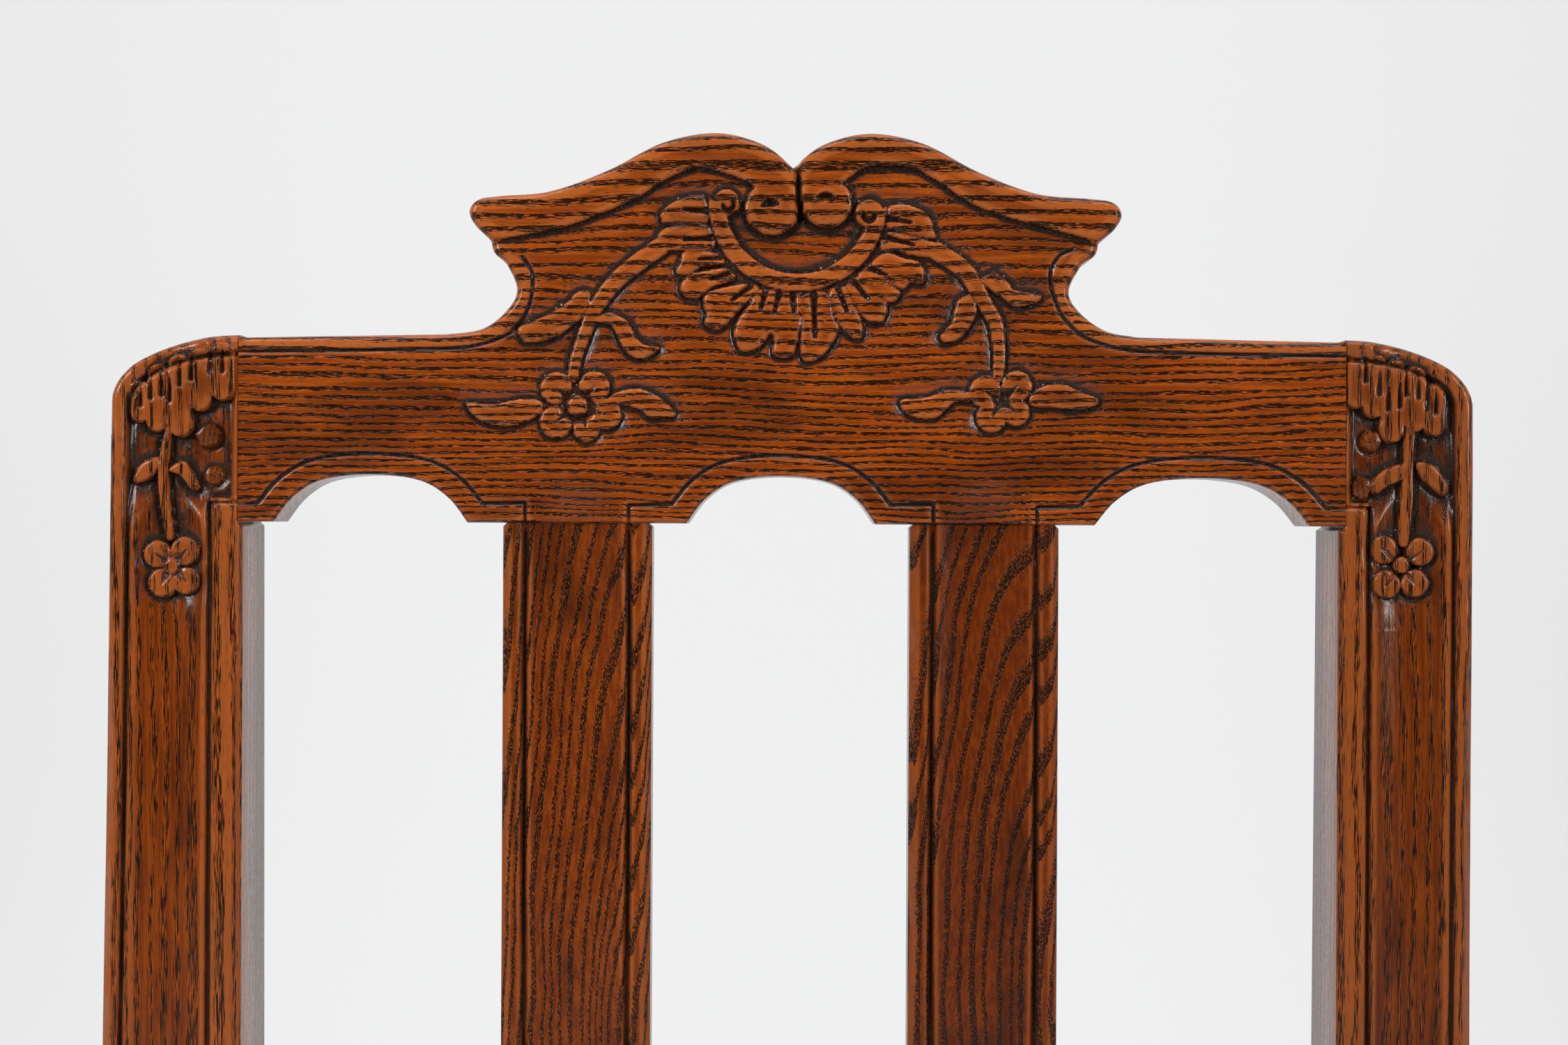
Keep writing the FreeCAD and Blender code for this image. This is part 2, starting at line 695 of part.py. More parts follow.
def slat(middle):
    half = slat_width / 2
    zs = (lower_top, crest_base)
    face = slat_setback
    bar = block((middle - half, middle + half), (face, face + slat_thickness), zs)
    quirks = []
    for side in (-1, 1):
        groove = quirk(middle + side * (half - slat_bead), zs)
        groove.translate(Vector(0, face, 0))
        quirks += [groove, arris(middle + side * half, -side, face, zs)]
    inner = half - slat_bead - quirk_width / 2
    bar = bar.cut(quirks + [hollow(middle - inner, middle + inner, face, zs)])
    tenons = [slat_tenon(middle, crest_base), slat_tenon(middle, lower_top - slat_tenon_length)]
    return lay_back(joined(bar, tenons))


def lower_back_rail():
    edges = arched_edge(-joint_x, joint_x, back_gaps(), lower_arch_rise, lower_rail_lift)
    edges += [line(Vector(x, 0, lower_rail_lift), Vector(x, 0, lower_top)) for x in (-joint_x, joint_x)]
    edges.append(line(Vector(-joint_x, 0, lower_top), Vector(joint_x, 0, lower_top)))
    board = lay_back(prism(Part.__sortEdges__(edges), Vector(0, lower_rail_thickness, 0)))
    board = joined(board, both([lower_rail_tenon()]))
    foot = lower_top - slat_tenon_length + joint_gap
    mortises = [lay_back(slat_tenon(x, foot, joint_gap)) for x in slat_middles]
    return board.cut(mortises + both(lower_rail_pegs(small_peg_radius + peg_gap)))


# Seat frame

def seat_well():
    """Space for the lift-out seat inside the lips of the rails."""
    corners = [(side_x(0, lip_width), 0), (side_x(well_front, lip_width), well_front)]
    corners += [(-x, y) for x, y in reversed(corners)]
    return plan(corners, (ledge_z, seat_rail_top + rebate_depth))


def front_seat_rail():
    gap = 2 * post_inner / 3
    starts = [-post_inner + n * gap for n in range(3)]
    gaps = [(start + apron_arch_margin / 2, start + gap - apron_arch_margin / 2) for start in starts]
    edges = arched_edge(-post_inner, post_inner, gaps, apron_arch_rise, rail_bottom)
    edges += [line(Vector(x, 0, rail_bottom), Vector(x, 0, seat_rail_top)) for x in (-post_inner, post_inner)]
    edges.append(line(Vector(-post_inner, 0, seat_rail_top), Vector(post_inner, 0, seat_rail_top)))
    board = prism(Part.__sortEdges__(edges), Vector(0, rail_thickness, 0))
    board.translate(Vector(0, front_rail_face, 0))
    board = joined(board, both([front_rail_tenon()]))
    return board.cut([seat_well()] + both(front_leg_pegs(small_peg_radius + peg_gap)))


def rear_seat_rail():
    board = block((-joint_x, joint_x), (-rear_ledge, rear_rail_thickness),
                  (seat_rail_top - rear_rail_height, seat_rail_top))
    board = joined(board, both([rear_rail_tenon()]))
    return board.cut([seat_well()] + both(rear_leg_pegs(small_peg_radius + peg_gap)))


def side_seat_rail():
    corners = [(side_x(0, 0), 0), (side_x(-run, 0), -run),
               (side_x(-run, rail_thickness), -run), (side_x(0, rail_thickness), 0)]
    board = plan(corners, (rail_bottom, seat_rail_top))
    board = joined(board, [side_rail_tenon(0, 1), side_rail_tenon(-run, -1)])
    holes = front_leg_pegs(small_peg_radius + peg_gap) + rear_leg_pegs(small_peg_radius + peg_gap)
    return board.cut([seat_well()] + holes)


def corner_block(rail_y, leg_y, leg_x, inward):
    """Block in a corner of the seat frame, notched round the leg."""
    reach = leg_y + inward * block_arm
    corners = [(leg_x - block_arm, rail_y), (leg_x, rail_y), (leg_x, leg_y),
               (side_x(leg_y, rail_thickness), leg_y), (side_x(reach, rail_thickness), reach)]
    return plan(corners, (rail_bottom + 2 * block_clear, ledge_z - block_clear))


# Front legs

def chamfered_square(x, y, size, corner, z):
    """Closed outline of a square with its corners taken off."""
    half = size / 2
    flat = half - corner
    points = []
    for turn in range(4):
        spin = Rotation(Vector(0, 0, 1), 90 * turn)
        points += [spin.multVec(Vector(half, side * flat, 0)) + Vector(x, y, z) for side in (-1, 1)]
    return Part.makePolygon(points + points[:1])


def leg_section(swing, size, f):
    """Section of the right front leg at the fraction f of its free height."""
    x = half_front - post_size / 2 + swing * post_size
    y = -seat_depth + post_size / 2 - swing * post_size
    corner = 0.09 + 0.17 * min(1, 4 * (1 - f))
    return chamfered_square(x, y, size * post_size, corner * size * post_size, f * post_bottom())


def post_bottom():
    return rail_bottom - bend_margin


def front_leg_blank():
    """Curved right front leg under its square post: swing outward, size and height, top to floor."""
    stations = ((0.0, 1.0, 1.0), (0.1, 1.1, 0.915), (0.09, 0.98, 0.79), (-0.015, 0.76, 0.565),
                (-0.1, 0.66, 0.34), (-0.07, 0.64, 0.17), (0.03, 0.72, 0.085), (0.1, 0.84, 0.035),
                (0.1, 0.8, 0.0))
    guide = Part.BSplineCurve()
    guide.interpolate([Vector(*station) for station in stations])
    span = guide.LastParameter
    wires = [leg_section(*guide.value(span * n / leg_steps)) for n in range(leg_steps + 1)]
    curved = Part.makeLoft(wires, True, True)
    post = block((post_inner, half_front), (-seat_depth, -run), (post_bottom(), seat_rail_top))
    return joined(post, [curved])


def front_leg():
    mortises = [
        front_rail_tenon(joint_gap),
        side_rail_tenon(-run, -1, joint_gap),
        stretcher_bar(joint_gap),
        stretcher_tenon_bar(joint_gap),
        seat_well(),
    ]
    holes = front_leg_pegs(small_peg_radius + peg_gap) + stretcher_leg_pegs(small_peg_radius + peg_gap)[:1]
    return front_leg_blank().cut(mortises + holes)


# Stretchers

def stretcher_ends():
    """Shoulders of the right side stretcher, a little inside the two legs."""
    ankle = -0.085 * post_size
    front = Vector(half_front - post_size / 2 + ankle, -seat_depth + post_size / 2 - ankle, 0)
    rear = Vector(joint_x + stile_width / 2, leg_front_y(stretcher_height), 0)
    way = (rear - front).normalize()
    return front + way * 0.22 * post_size, rear + way * 0.08 * leg_depth_at_seat


def bar(a, b, width, depth, middle):
    """Straight bar from a to b in plan, centred on the level middle."""
    length = (b - a).Length
    shape = Part.makeBox(width, length, depth, Vector(-width / 2, 0, -depth / 2))
    turn = math.degrees(math.atan2(b.y - a.y, b.x - a.x)) - 90
    shape.Placement = Placement(Vector(a.x, a.y, middle), Rotation(Vector(0, 0, 1), turn))
    return shape


def stretcher_bar(grow=0.0):
    a, b = stretcher_ends()
    return bar(a, b, stretcher_width + 2 * grow, stretcher_depth + 2 * grow, stretcher_height)


def stretcher_tenon_bar(grow=0.0):
    a, b = stretcher_ends()
    way = (b - a).normalize() * (stretcher_tenon + grow)
    return bar(a - way, b + way, tenon_thickness + 2 * grow, stretcher_depth / 2 + 2 * grow, stretcher_height)


def cross_ends():
    a, b = stretcher_ends()
    spot = a + (b - a) * cross_place
    inner = spot.x - stretcher_width / 2 + housing_depth
    return Vector(-inner, spot.y, 0), Vector(inner, spot.y, 0)


def cross_tenon_bar(grow=0.0):
    a, b = cross_ends()
    way = Vector(cross_tenon + grow, 0, 0)
    return bar(a - way, b + way, tenon_thickness + 2 * grow, stretcher_depth / 2 + 2 * grow, stretcher_height)


def stretcher_leg_pegs(radius):
    """Pegs of the right side stretcher, front leg first, driven in from outside."""
    a, b = stretcher_ends()
    way = (b - a).normalize() * stretcher_tenon / 2
    pegs = []
    ankle_half = 0.33 * post_size + peg_past
    for spot, outside in ((a - way, ankle_half), (b + way, stile_width / 2)):
        start = Vector(spot.x + outside + peg_end, spot.y, stretcher_height)
        deep = outside + peg_end + tenon_thickness / 2 + peg_past
        pegs.append(peg(start, Vector(-1, 0, 0), deep, radius))
    return pegs


def cross_pegs(radius):
    """Peg of the right end of the cross stretcher, driven in from above."""
    a, b = cross_ends()
    start = Vector(b.x + cross_tenon / 2, b.y, stretcher_height + stretcher_depth / 2 + peg_end)
    return [peg(start, Vector(0, 0, -1), 0.85 * stretcher_depth, radius)]


def long_edges(shape, length):
    return [edge for edge in shape.Edges if edge.Length > 0.9 * length]


def rounded_bar(shape, a, b):
    return shape.makeFillet(stretcher_round, long_edges(shape, (b - a).Length))


def side_stretcher():
    body = joined(rounded_bar(stretcher_bar(), *stretcher_ends()), [stretcher_tenon_bar()])
    housing = bar(*cross_ends(), stretcher_width + 2 * joint_gap, cross_depth + 2 * joint_gap,
                  stretcher_height)
    holes = stretcher_leg_pegs(small_peg_radius + peg_gap) + cross_pegs(small_peg_radius + peg_gap)
    return body.cut([housing, cross_tenon_bar(joint_gap)] + holes)


def cross_stretcher():
    ends = cross_ends()
    body = bar(*ends, stretcher_width, cross_depth, stretcher_height)
    body = joined(rounded_bar(body, *ends), [cross_tenon_bar()])
    return body.cut(both(cross_pegs(small_peg_radius + peg_gap)))


# Lift-out seat

def slip_x(y, inset=0.0):
    return side_x(y, slip_inset + inset)


def seat_outline(inset, corner, z):
    """Points of the rounded outline of the seat, moved in from the frame of the lift-out seat."""
    rear = slip_rear - inset
    front = slip_front + inset
    corners = [Vector(slip_x(front, inset), front, z), Vector(slip_x(rear, inset), rear, z)]
    corners += [Vector(-point.x, point.y, z) for point in reversed(corners)]
    points = []
    for n, here in enumerate(corners):
        back = (corners[n - 1] - here).normalize()
        ahead = (corners[(n + 1) % 4] - here).normalize()
        half = back.getAngle(ahead) / 2
        centre = here + (back + ahead).normalize() * (corner / math.sin(half))
        spoke = here + back * (corner / math.tan(half)) - centre
        turn = 180 - 2 * math.degrees(half)
        for k in range(corner_sides + 1):
            points.append(centre + Rotation(Vector(0, 0, 1), turn * k / corner_sides).multVec(spoke))
    return points


def polygon_face(points):
    return Part.Face(Part.makePolygon(points + points[:1]))


def seat_prism(inset, corner, zs):
    return polygon_face(seat_outline(inset, corner, zs[0])).extrude(Vector(0, 0, zs[1] - zs[0]))


def crown(inset, foot, top):
    """Domed pad from the level foot to the level top, drawn in a little at its foot."""
    rise = top - foot
    rings = [seat_outline(inset + cover_thickness / 2, seat_corner, foot)]
    for n in range(crown_steps + 1):
        turn = math.pi / 2 * n / crown_steps
        step = crown_reach * (1 - math.cos(turn))
        level = foot + rise * (crown_side + (1 - crown_side) * math.sin(turn))
        rings.append(seat_outline(inset + step, seat_corner + 0.8 * step, level))
    faces = [polygon_face(rings[0]), polygon_face(rings[-1])]
    for lower, upper in zip(rings[:-1], rings[1:]):
        for n in range(len(lower)):
            faces.append(polygon_face([lower[n - 1], lower[n], upper[n], upper[n - 1]]))
    return Part.makeSolid(Part.makeShell(faces))


def slip_frame_zone():
    return seat_prism(0, seat_corner + 2, (slip_z, slip_top))


def slip_side():
    corners = [(slip_x(slip_rear), slip_rear), (slip_x(slip_front), slip_front),
               (slip_x(slip_front, slip_width), slip_front), (slip_x(slip_rear, slip_width), slip_rear)]
    member = plan(corners, (slip_z, slip_top)).common(slip_frame_zone())
    mortises = [slip_tenon(y, joint_gap) for y in slip_rail_middles()]
    return member.cut(mortises + slip_holes())


def slip_rail_middles():
    return (slip_front + slip_width / 2, slip_rear - slip_width / 2)


def slip_tenon(y, grow=0.0):
    inner = slip_x(y, slip_width)
    third = slip_thickness / 3
    xs = (inner - slip_tenon_length / 2, inner + slip_tenon_length)
    return block(xs, (y - slip_width / 3, y + slip_width / 3), (slip_z + third, slip_top - third), grow)


def slip_pegs(radius):
    spots = [Vector(slip_x(y, slip_width) + slip_tenon_length / 2, y, slip_z) for y in slip_rail_middles()]
    return [peg(spot, Vector(0, 0, 1), slip_thickness, radius) for spot in spots]


def slip_holes():
    return slip_pegs(small_peg_radius + peg_gap)


def slip_rail(y):
    ys = (y - slip_width / 2, y + slip_width / 2)
    corners = [(slip_x(ys[0], slip_width), ys[0]), (slip_x(ys[1], slip_width), ys[1])]
    corners += [(-x, depth) for x, depth in reversed(corners)]
    member = plan(corners, (slip_z, slip_top))
    member = joined(member, both([slip_tenon(y)]))
    return member.cut(both(slip_holes()))


def strap_spots(span):
    """Middles of three straps spread over a span."""
    return [span[0] + (span[1] - span[0]) * f for f in (0.2, 0.5, 0.8)]


def lengthwise_middles():
    half = slip_x(slip_rear, slip_width / 2)
    return strap_spots((-half, half))


def crosswise_middles():
    return strap_spots((slip_front, slip_rear))


def webbing_lengthwise():
    ys = (slip_front + strap_inset, slip_rear - strap_inset)
    return [block((x - strap_width / 2, x + strap_width / 2), ys, (slip_top, slip_top + strap_thickness))
            for x in lengthwise_middles()]


def webbing_crosswise():
    half = slip_x(slip_rear, strap_inset)
    zs = (slip_top + strap_thickness, hessian_z)
    return [block((-half, half), (y - strap_width / 2, y + strap_width / 2), zs) for y in crosswise_middles()]


def hessian():
    return seat_prism(strap_inset / 3, seat_corner, (hessian_z, stuffing_z))


def stuffing():
    return crown(stuffing_gap, stuffing_z, stuffing_z + seat_crown - stuffing_gap)


def seat_cover():
    out = -cover_thickness
    skirt = seat_prism(out, seat_corner + cover_thickness, (ledge_z, stuffing_z))
    outer = joined(skirt, [crown(out, stuffing_z, stuffing_z + seat_crown + cover_thickness)])
    pad = crown(0, stuffing_z, stuffing_z + seat_crown)
    inside = seat_prism(0, seat_corner, (slip_z, stuffing_z)).fuse(pad)
    opening = seat_prism(cover_turn, seat_corner, (ledge_z - 1, slip_z + 1))
    return outer.cut([inside, opening])


def group(shapes):
    return Part.makeCompound(shapes)


def build():
    right_leg = rear_leg()
    right_front = front_leg()
    right_rail = side_seat_rail()
    right_stretcher = side_stretcher()
    right_slip = slip_side()
    front_block = corner_block(front_rail_inner, -run, post_inner, 1)
    rear_block = corner_block(-rear_ledge, 0, joint_x, -1)
    middle_y, rear_y = slip_rail_middles()
    return {
        "rear_leg_left": mirrored(right_leg),
        "rear_leg_right": right_leg,
        "crest_rail": crest_rail(),
        "slat_left": slat(slat_middles[0]),
        "slat_right": slat(slat_middles[1]),
        "lower_back_rail": lower_back_rail(),
        "rear_seat_rail": rear_seat_rail(),
        "front_seat_rail": front_seat_rail(),
        "side_seat_rail_left": mirrored(right_rail),
        "side_seat_rail_right": right_rail,
        "front_leg_left": mirrored(right_front),
        "front_leg_right": right_front,
        "side_stretcher_left": mirrored(right_stretcher),
        "side_stretcher_right": right_stretcher,
        "cross_stretcher": cross_stretcher(),
        "corner_block_front_left": mirrored(front_block),
        "corner_block_front_right": front_block,
        "corner_block_rear_left": mirrored(rear_block),
        "corner_block_rear_right": rear_block,
        "crest_pegs": group(both(crest_pegs(peg_radius))),
        "lower_rail_pegs": group(both(lower_rail_pegs(small_peg_radius))),
        "front_leg_pegs": group(both(front_leg_pegs(small_peg_radius))),
        "rear_leg_pegs": group(both(rear_leg_pegs(small_peg_radius))),
        "stretcher_pegs": group(both(stretcher_leg_pegs(small_peg_radius) + cross_pegs(small_peg_radius))),
        "slip_seat_front": slip_rail(middle_y),
        "slip_seat_back": slip_rail(rear_y),
        "slip_seat_side_left": mirrored(right_slip),
        "slip_seat_side_right": right_slip,
        "slip_seat_pegs": group(both(slip_pegs(small_peg_radius))),
        "webbing_lengthwise": group(webbing_lengthwise()),
        "webbing_crosswise": group(webbing_crosswise()),
        "hessian": hessian(),
        "stuffing": stuffing(),
        "seat_cover": seat_cover(),
    }


def centred(parts):
    """All parts moved so that the origin is on the floor under the middle of the chair."""
    low = min(part.BoundBox.YMin for part in parts.values())
    high = max(part.BoundBox.YMax for part in parts.values())
    for part in parts.values():
        part.translate(Vector(0, -(low + high) / 2, 0))
    return parts


os.makedirs("parts", exist_ok=True)
for name, shape in centred(build()).items():
    shape.exportStep("parts/" + name + ".step")
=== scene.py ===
import math

import bpy
import numpy as np
from mathutils import Matrix, Vector
from mathutils.geometry import delaunay_2d_cdt

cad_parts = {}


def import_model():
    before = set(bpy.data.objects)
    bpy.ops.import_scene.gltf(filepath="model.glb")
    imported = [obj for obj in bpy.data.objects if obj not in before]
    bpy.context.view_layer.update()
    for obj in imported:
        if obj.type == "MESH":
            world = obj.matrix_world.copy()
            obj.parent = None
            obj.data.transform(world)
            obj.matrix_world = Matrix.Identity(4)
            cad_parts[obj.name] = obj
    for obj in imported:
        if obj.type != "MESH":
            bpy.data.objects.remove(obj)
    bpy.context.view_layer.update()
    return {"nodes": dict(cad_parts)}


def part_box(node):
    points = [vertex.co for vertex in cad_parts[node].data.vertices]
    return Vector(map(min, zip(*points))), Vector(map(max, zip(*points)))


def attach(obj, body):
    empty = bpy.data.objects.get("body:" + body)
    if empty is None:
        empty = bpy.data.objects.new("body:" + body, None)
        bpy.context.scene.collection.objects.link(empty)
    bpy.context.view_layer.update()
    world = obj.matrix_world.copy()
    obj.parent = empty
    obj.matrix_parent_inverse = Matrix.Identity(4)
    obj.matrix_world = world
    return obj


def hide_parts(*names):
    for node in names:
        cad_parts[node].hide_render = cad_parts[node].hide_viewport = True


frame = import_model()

# Side chair with a carved crest rail. The wood is worked out in millimetres on the front of the back:
# u runs across, v up the slope from the bottom of the crest and d into the wood.
# The pieces themselves are in metres.

MM = 0.001
FAR = 99.0                     # distance given to places that a shape doesn't reach

# Sizes shared with the construction
back_rake = math.radians(7)
bend_radius = 500.0
bend_low = 352.0
bend_high = 440.0
rear_kick = 45.0
rear_ledge = 16.0              # of the rear seat rail, in front of the stiles
joint_u = 183.0
stile_width = 42.0
crest_base = 374.2             # crest bottom above the end of the bend, along the slope
crest_thickness = 26.0
crest_shoulder = 61.0
stile_top = 61.8               # above the crest bottom
stile_corner = 22.0
leg_depths = (34.0, 46.0, 36.0)  # at the foot, the seat and the top
slat_width = 49.5
slat_middles = (-71.0, 64.0)
slat_setback = 1.5
slat_thickness = 16.0
slat_bead = 7.6
arch_margin = 11.5             # foot of an arch to the slat or stile beside it
lower_rail_zs = (12.0, 58.0)   # above the end of the bend
lower_rail_thickness = 22.0
lower_arch_rise = 9.0
apron_rise = 16.0
apron_margin = 13.0
rail_height = 68.0
rail_thickness = 26.0
rail_setback = 2.0
seat_depth = 388.0
half_back = joint_u + stile_width
half_front = 244.0
post = 44.0
lip = 10.0
rebate = 22.0
seat_gap = 1.5
cover = 1.6                    # thickness of the leather
cover_turn = 22.0
seat_corner = 9.0
seat_crown = 34.0
crown_side = 0.28              # share of the crown in its upright sides
crown_reach = 75.0
strap_width = 50.0

# Worked out
stile_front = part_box("rear_seat_rail")[0].y / MM + rear_ledge
slat_quirk = slat_width / 2 - slat_bead
post_inner = half_front - post
post_front = stile_front - seat_depth
front_face = post_front + rail_setback
seat_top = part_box("front_seat_rail")[1].z / MM
ledge = seat_top - rebate
pad_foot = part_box("hessian")[1].z / MM
splay = (half_front - half_back) / (seat_depth - post)

# Places on the leg, along its front from the end of the bend
bend_turn = bend_radius * back_rake
kick_radius = (rear_kick ** 2 + bend_low ** 2) / (2 * rear_kick)
kick_turn = math.asin(bend_low / kick_radius)
upright = bend_high - bend_low
foot_s = -(bend_turn + upright + kick_radius * kick_turn)


# Curves and distances on the face of the wood

def smooth(points, closed=False, steps=8):
    """Points along a rounded curve through the given ones."""
    points = [np.array(p, float) for p in points]
    count = len(points)
    out = []
    for n in range(count if closed else count - 1):
        a, b, c, d = [points[(n + k) % count] if closed else points[min(max(n + k, 0), count - 1)]
                      for k in (-1, 0, 1, 2)]
        for t in np.arange(steps) / steps:
            out.append(b + 0.5 * t * (c - a + t * (2 * a - 5 * b + 4 * c - d + t * (3 * (b - c) + d - a))))
    return out if closed else out + [points[-1]]


def arc(centre, radius, start, end, steps=24):
    """Points on an arc, angles in degrees from +u."""
    angles = np.radians(np.linspace(start, end, steps))
    return [np.array((centre[0] + radius * math.cos(a), centre[1] + radius * math.sin(a))) for a in angles]


def distance(u, v, path):
    """Distance to a line of straight pieces, less its half width where the points have one."""
    best = np.full(np.shape(u), np.inf)
    for a, b in zip(path[:-1], path[1:]):
        du, dv = b[0] - a[0], b[1] - a[1]
        t = np.clip(((u - a[0]) * du + (v - a[1]) * dv) / (du * du + dv * dv + 1e-9), 0, 1)
        far = np.hypot(u - a[0] - t * du, v - a[1] - t * dv)
        if len(a) > 2:
            far = far - a[2] - t * (b[2] - a[2])
        best = np.minimum(best, far)
    return best


def away(u, v, point):
    """Distance to one point."""
    return np.hypot(u - point[0], v - point[1])


def inside(u, v, loop):
    """True where a closed line is crossed an odd number of times on the way out."""
    odd = np.zeros(np.shape(u), bool)
    for (au, av), (bu, bv) in zip(loop, list(loop[1:]) + [loop[0]]):
        if av != bv:
            odd ^= ((av > v) != (bv > v)) & (u < (bu - au) * (v - av) / (bv - av) + au)
    return odd


def signed(u, v, loop):
    """Distance to a closed line, negative inside it."""
    far = distance(u, v, list(loop) + [loop[0]])
    return np.where(inside(u, v, loop), -far, far)


def stroke(u, v, nodes):
    """Signed distance to a rounded stroke through (u, v, half width) nodes."""
    return distance(u, v, smooth(nodes, steps=6))


def near(u, v, points, reach, measure, *args):
    """Measure taken only near some points, with a large distance elsewhere."""
    spots = np.array([p[:2] for p in points], float)
    low, high = spots.min(0) - reach, spots.max(0) + reach
    zone = (u > low[0]) & (u < high[0]) & (v > low[1]) & (v < high[1])
    out = np.full(np.shape(u), FAR)
    out[zone] = measure(u[zone], v[zone], *args)
    return out


def near_line(u, v, line, reach=4.0):
    """Distance to a line, taken only near it."""
    return near(u, v, line, reach, distance, line)


def step(low, high, x):
    """Smooth rise from 0 at low to 1 at high."""
    t = np.clip((x - low) / (high - low), 0, 1)
    return t * t * (3 - 2 * t)


def rolled(edge, radius):
    """Drop of a rounded arris at a distance from the edge."""
    t = np.clip(radius - edge, 0, radius)
    return radius - np.sqrt(radius ** 2 - t ** 2)


def incised(far, depth, half):
    """Depth of a narrow cut at a distance from its middle line."""
    return depth * np.clip(1 - far / half, 0, 1) ** 1.4


def waver(u, v, size, seed):
    """Smooth unevenness of hand work, about -1 to 1."""
    a = np.sin(u / size * 1.7 + seed) * np.sin(v / size * 1.3 + 2.1 * seed)
    b = np.sin(u / size * 0.63 - v / size * 0.81 + 3.7 * seed)
    return 0.6 * a + 0.4 * b


# Carving

# The carving is flat on top, with narrow shoulders and steep walls
shoulder_share = 0.5
crown_share = 0.5
wall_slope = 3.4
wall_reach = 3.0


class Carving:
    """Raised ornament on a ground that is cut back around it."""

    def __init__(self, u, v):
        self.u, self.v = u, v
        self.near = np.full(np.shape(u), FAR)
        self.raised = np.full(np.shape(u), -FAR)

    def raise_shape(self, far, top=0.0, crown=0.9, shoulder=2.2):
        """Adds a form with rounded shoulders from its signed distance."""
        t = np.clip(-far / (shoulder_share * shoulder), 0, 1)
        form = top - crown_share * crown * (1 - t) ** 2 - wall_slope * np.clip(far, 0, None)
        self.raised = np.maximum(self.raised, form)
        self.near = np.minimum(self.near, far)

    def leaf(self, points, reach=20.0, **look):
        loop = smooth(points, True, 6)
        self.raise_shape(near(self.u, self.v, loop, reach, signed, loop), **look)

    def disc(self, centre, radius, reach=20.0, **look):
        far = away(self.u, self.v, centre) - radius
        self.raise_shape(np.where(far < reach, far, FAR), **look)

    def stem(self, nodes, reach=20.0, **look):
        self.raise_shape(near(self.u, self.v, nodes, reach, stroke, nodes), **look)

    def surface(self, field, depth, fade):
        """Height of the ornament and of its field, which sinks towards the ornament."""
        ground = field - depth * np.exp(-np.clip(self.near, 0, None) / fade)
        return np.maximum(ground, np.where(self.near < wall_reach, self.raised, -FAR))


def gouge(u, v, nodes, depth):
    """Spoon-shaped cut along a stroke."""
    far = near(u, v, nodes, 3.0, stroke, nodes)
    return depth * np.clip(-far / max(n[2] for n in nodes), 0, 1) ** 0.7


def petal_cuts(u, v, flower, start, end, widths, depth):
    """Gouge cuts from the heart of a flower along its petals, between two shares of their length."""
    centre = flower["button"][0]
    cuts = 0.0
    for petal, _ in flower["petals"]:
        way = np.subtract(petal, centre)
        nodes = [(*(centre + share * way), width) for share, width in zip((start, end), widths)]
        cuts = cuts + gouge(u, v, nodes, depth)
    return cuts


# Meshes

def blurred(grid, width):
    """Grid smoothed over about a number of cells each way."""
    reach = int(3 * width)
    weights = np.exp(-0.5 * (np.arange(-reach, reach + 1) / width) ** 2)
    weights /= weights.sum()
    for axis in (0, 1):
        pad = [(reach, reach) if k == axis else (0, 0) for k in (0, 1)]
        padded = np.pad(grid, pad, "edge")
        grid = sum(w * np.take(padded, np.arange(n, n + grid.shape[axis]), axis)
                   for n, w in enumerate(weights))
    return grid


def tube_faces(start, count, rings, flip=False, closed=False):
    """Quads between rings of points that follow one another in a mesh; a closed row joins last and first."""
    faces = []
    for n in range(rings if closed else rings - 1):
        low, high = start + n * count, start + (n + 1) % rings * count
        for k in range(count):
            j = (k + 1) % count
            a, b = (j, k) if flip else (k, j)
            faces.append((low + a, low + b, high + b, high + a))
    return faces


def tubes(forms, flip=False):
    """Points and faces of closed forms, each given as a row of rings of points."""
    verts = []
    faces = []
    for rings in forms:
        start, count = len(verts), len(rings[0])
        faces += tube_faces(start, count, len(rings), flip)
        verts += [p for ring in rings for p in ring]
        first = tuple(range(start, start + count))
        last = tuple(range(len(verts) - count, len(verts)))
        faces += [first, last[::-1]] if flip else [first[::-1], last]
    return verts, faces


def in_scene(name, data):
    """New object in the scene."""
    made = bpy.data.objects.new(name, data)
    bpy.context.scene.collection.objects.link(made)
    return made


def plain_mesh(name, verts, faces):
    """Mesh without a material or an object."""
    mesh = bpy.data.meshes.new(name)
    mesh.from_pydata([tuple(p) for p in verts], [], faces)
    return mesh


def make_piece(name, verts, faces, material, body, slot, nodes=(), smooth_angle=40, **values):
    """Mesh on one body of the chair, in place of the given nodes, with values on its points."""
    mesh = plain_mesh(name, verts, faces)
    mesh.validate()
    mesh.update()
    for key, data in values.items():
        mesh.attributes.new(key, "FLOAT", "POINT").data.foreach_set("value", np.asarray(data, np.float32))
    mesh.shade_smooth()
    if smooth_angle:
        mesh.set_sharp_from_angle(angle=math.radians(smooth_angle))
    piece = in_scene(name, mesh)
    mesh.materials.append(material)
    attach(piece, body)
    if nodes:
        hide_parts(*nodes)
    return piece


def slope_line(s):
    """Front of a rear leg at the length s above the bend: y, z and lean, millimetres and radians."""
    s = np.asarray(s, float)
    turn = np.clip(back_rake + s / bend_radius, 0, back_rake)
    drop = np.clip(-s - bend_turn - upright, 0, None) / kick_radius
    rise = np.clip(s, 0, None)
    straight = np.clip(-s - bend_turn, 0, upright)
    y = bend_radius * (1 - np.cos(turn)) + rise * math.sin(back_rake) + kick_radius * (1 - np.cos(drop))
    z = bend_high + bend_radius * np.sin(turn) + rise * math.cos(back_rake) - straight \
        - kick_radius * np.sin(drop)
    return y, z, turn


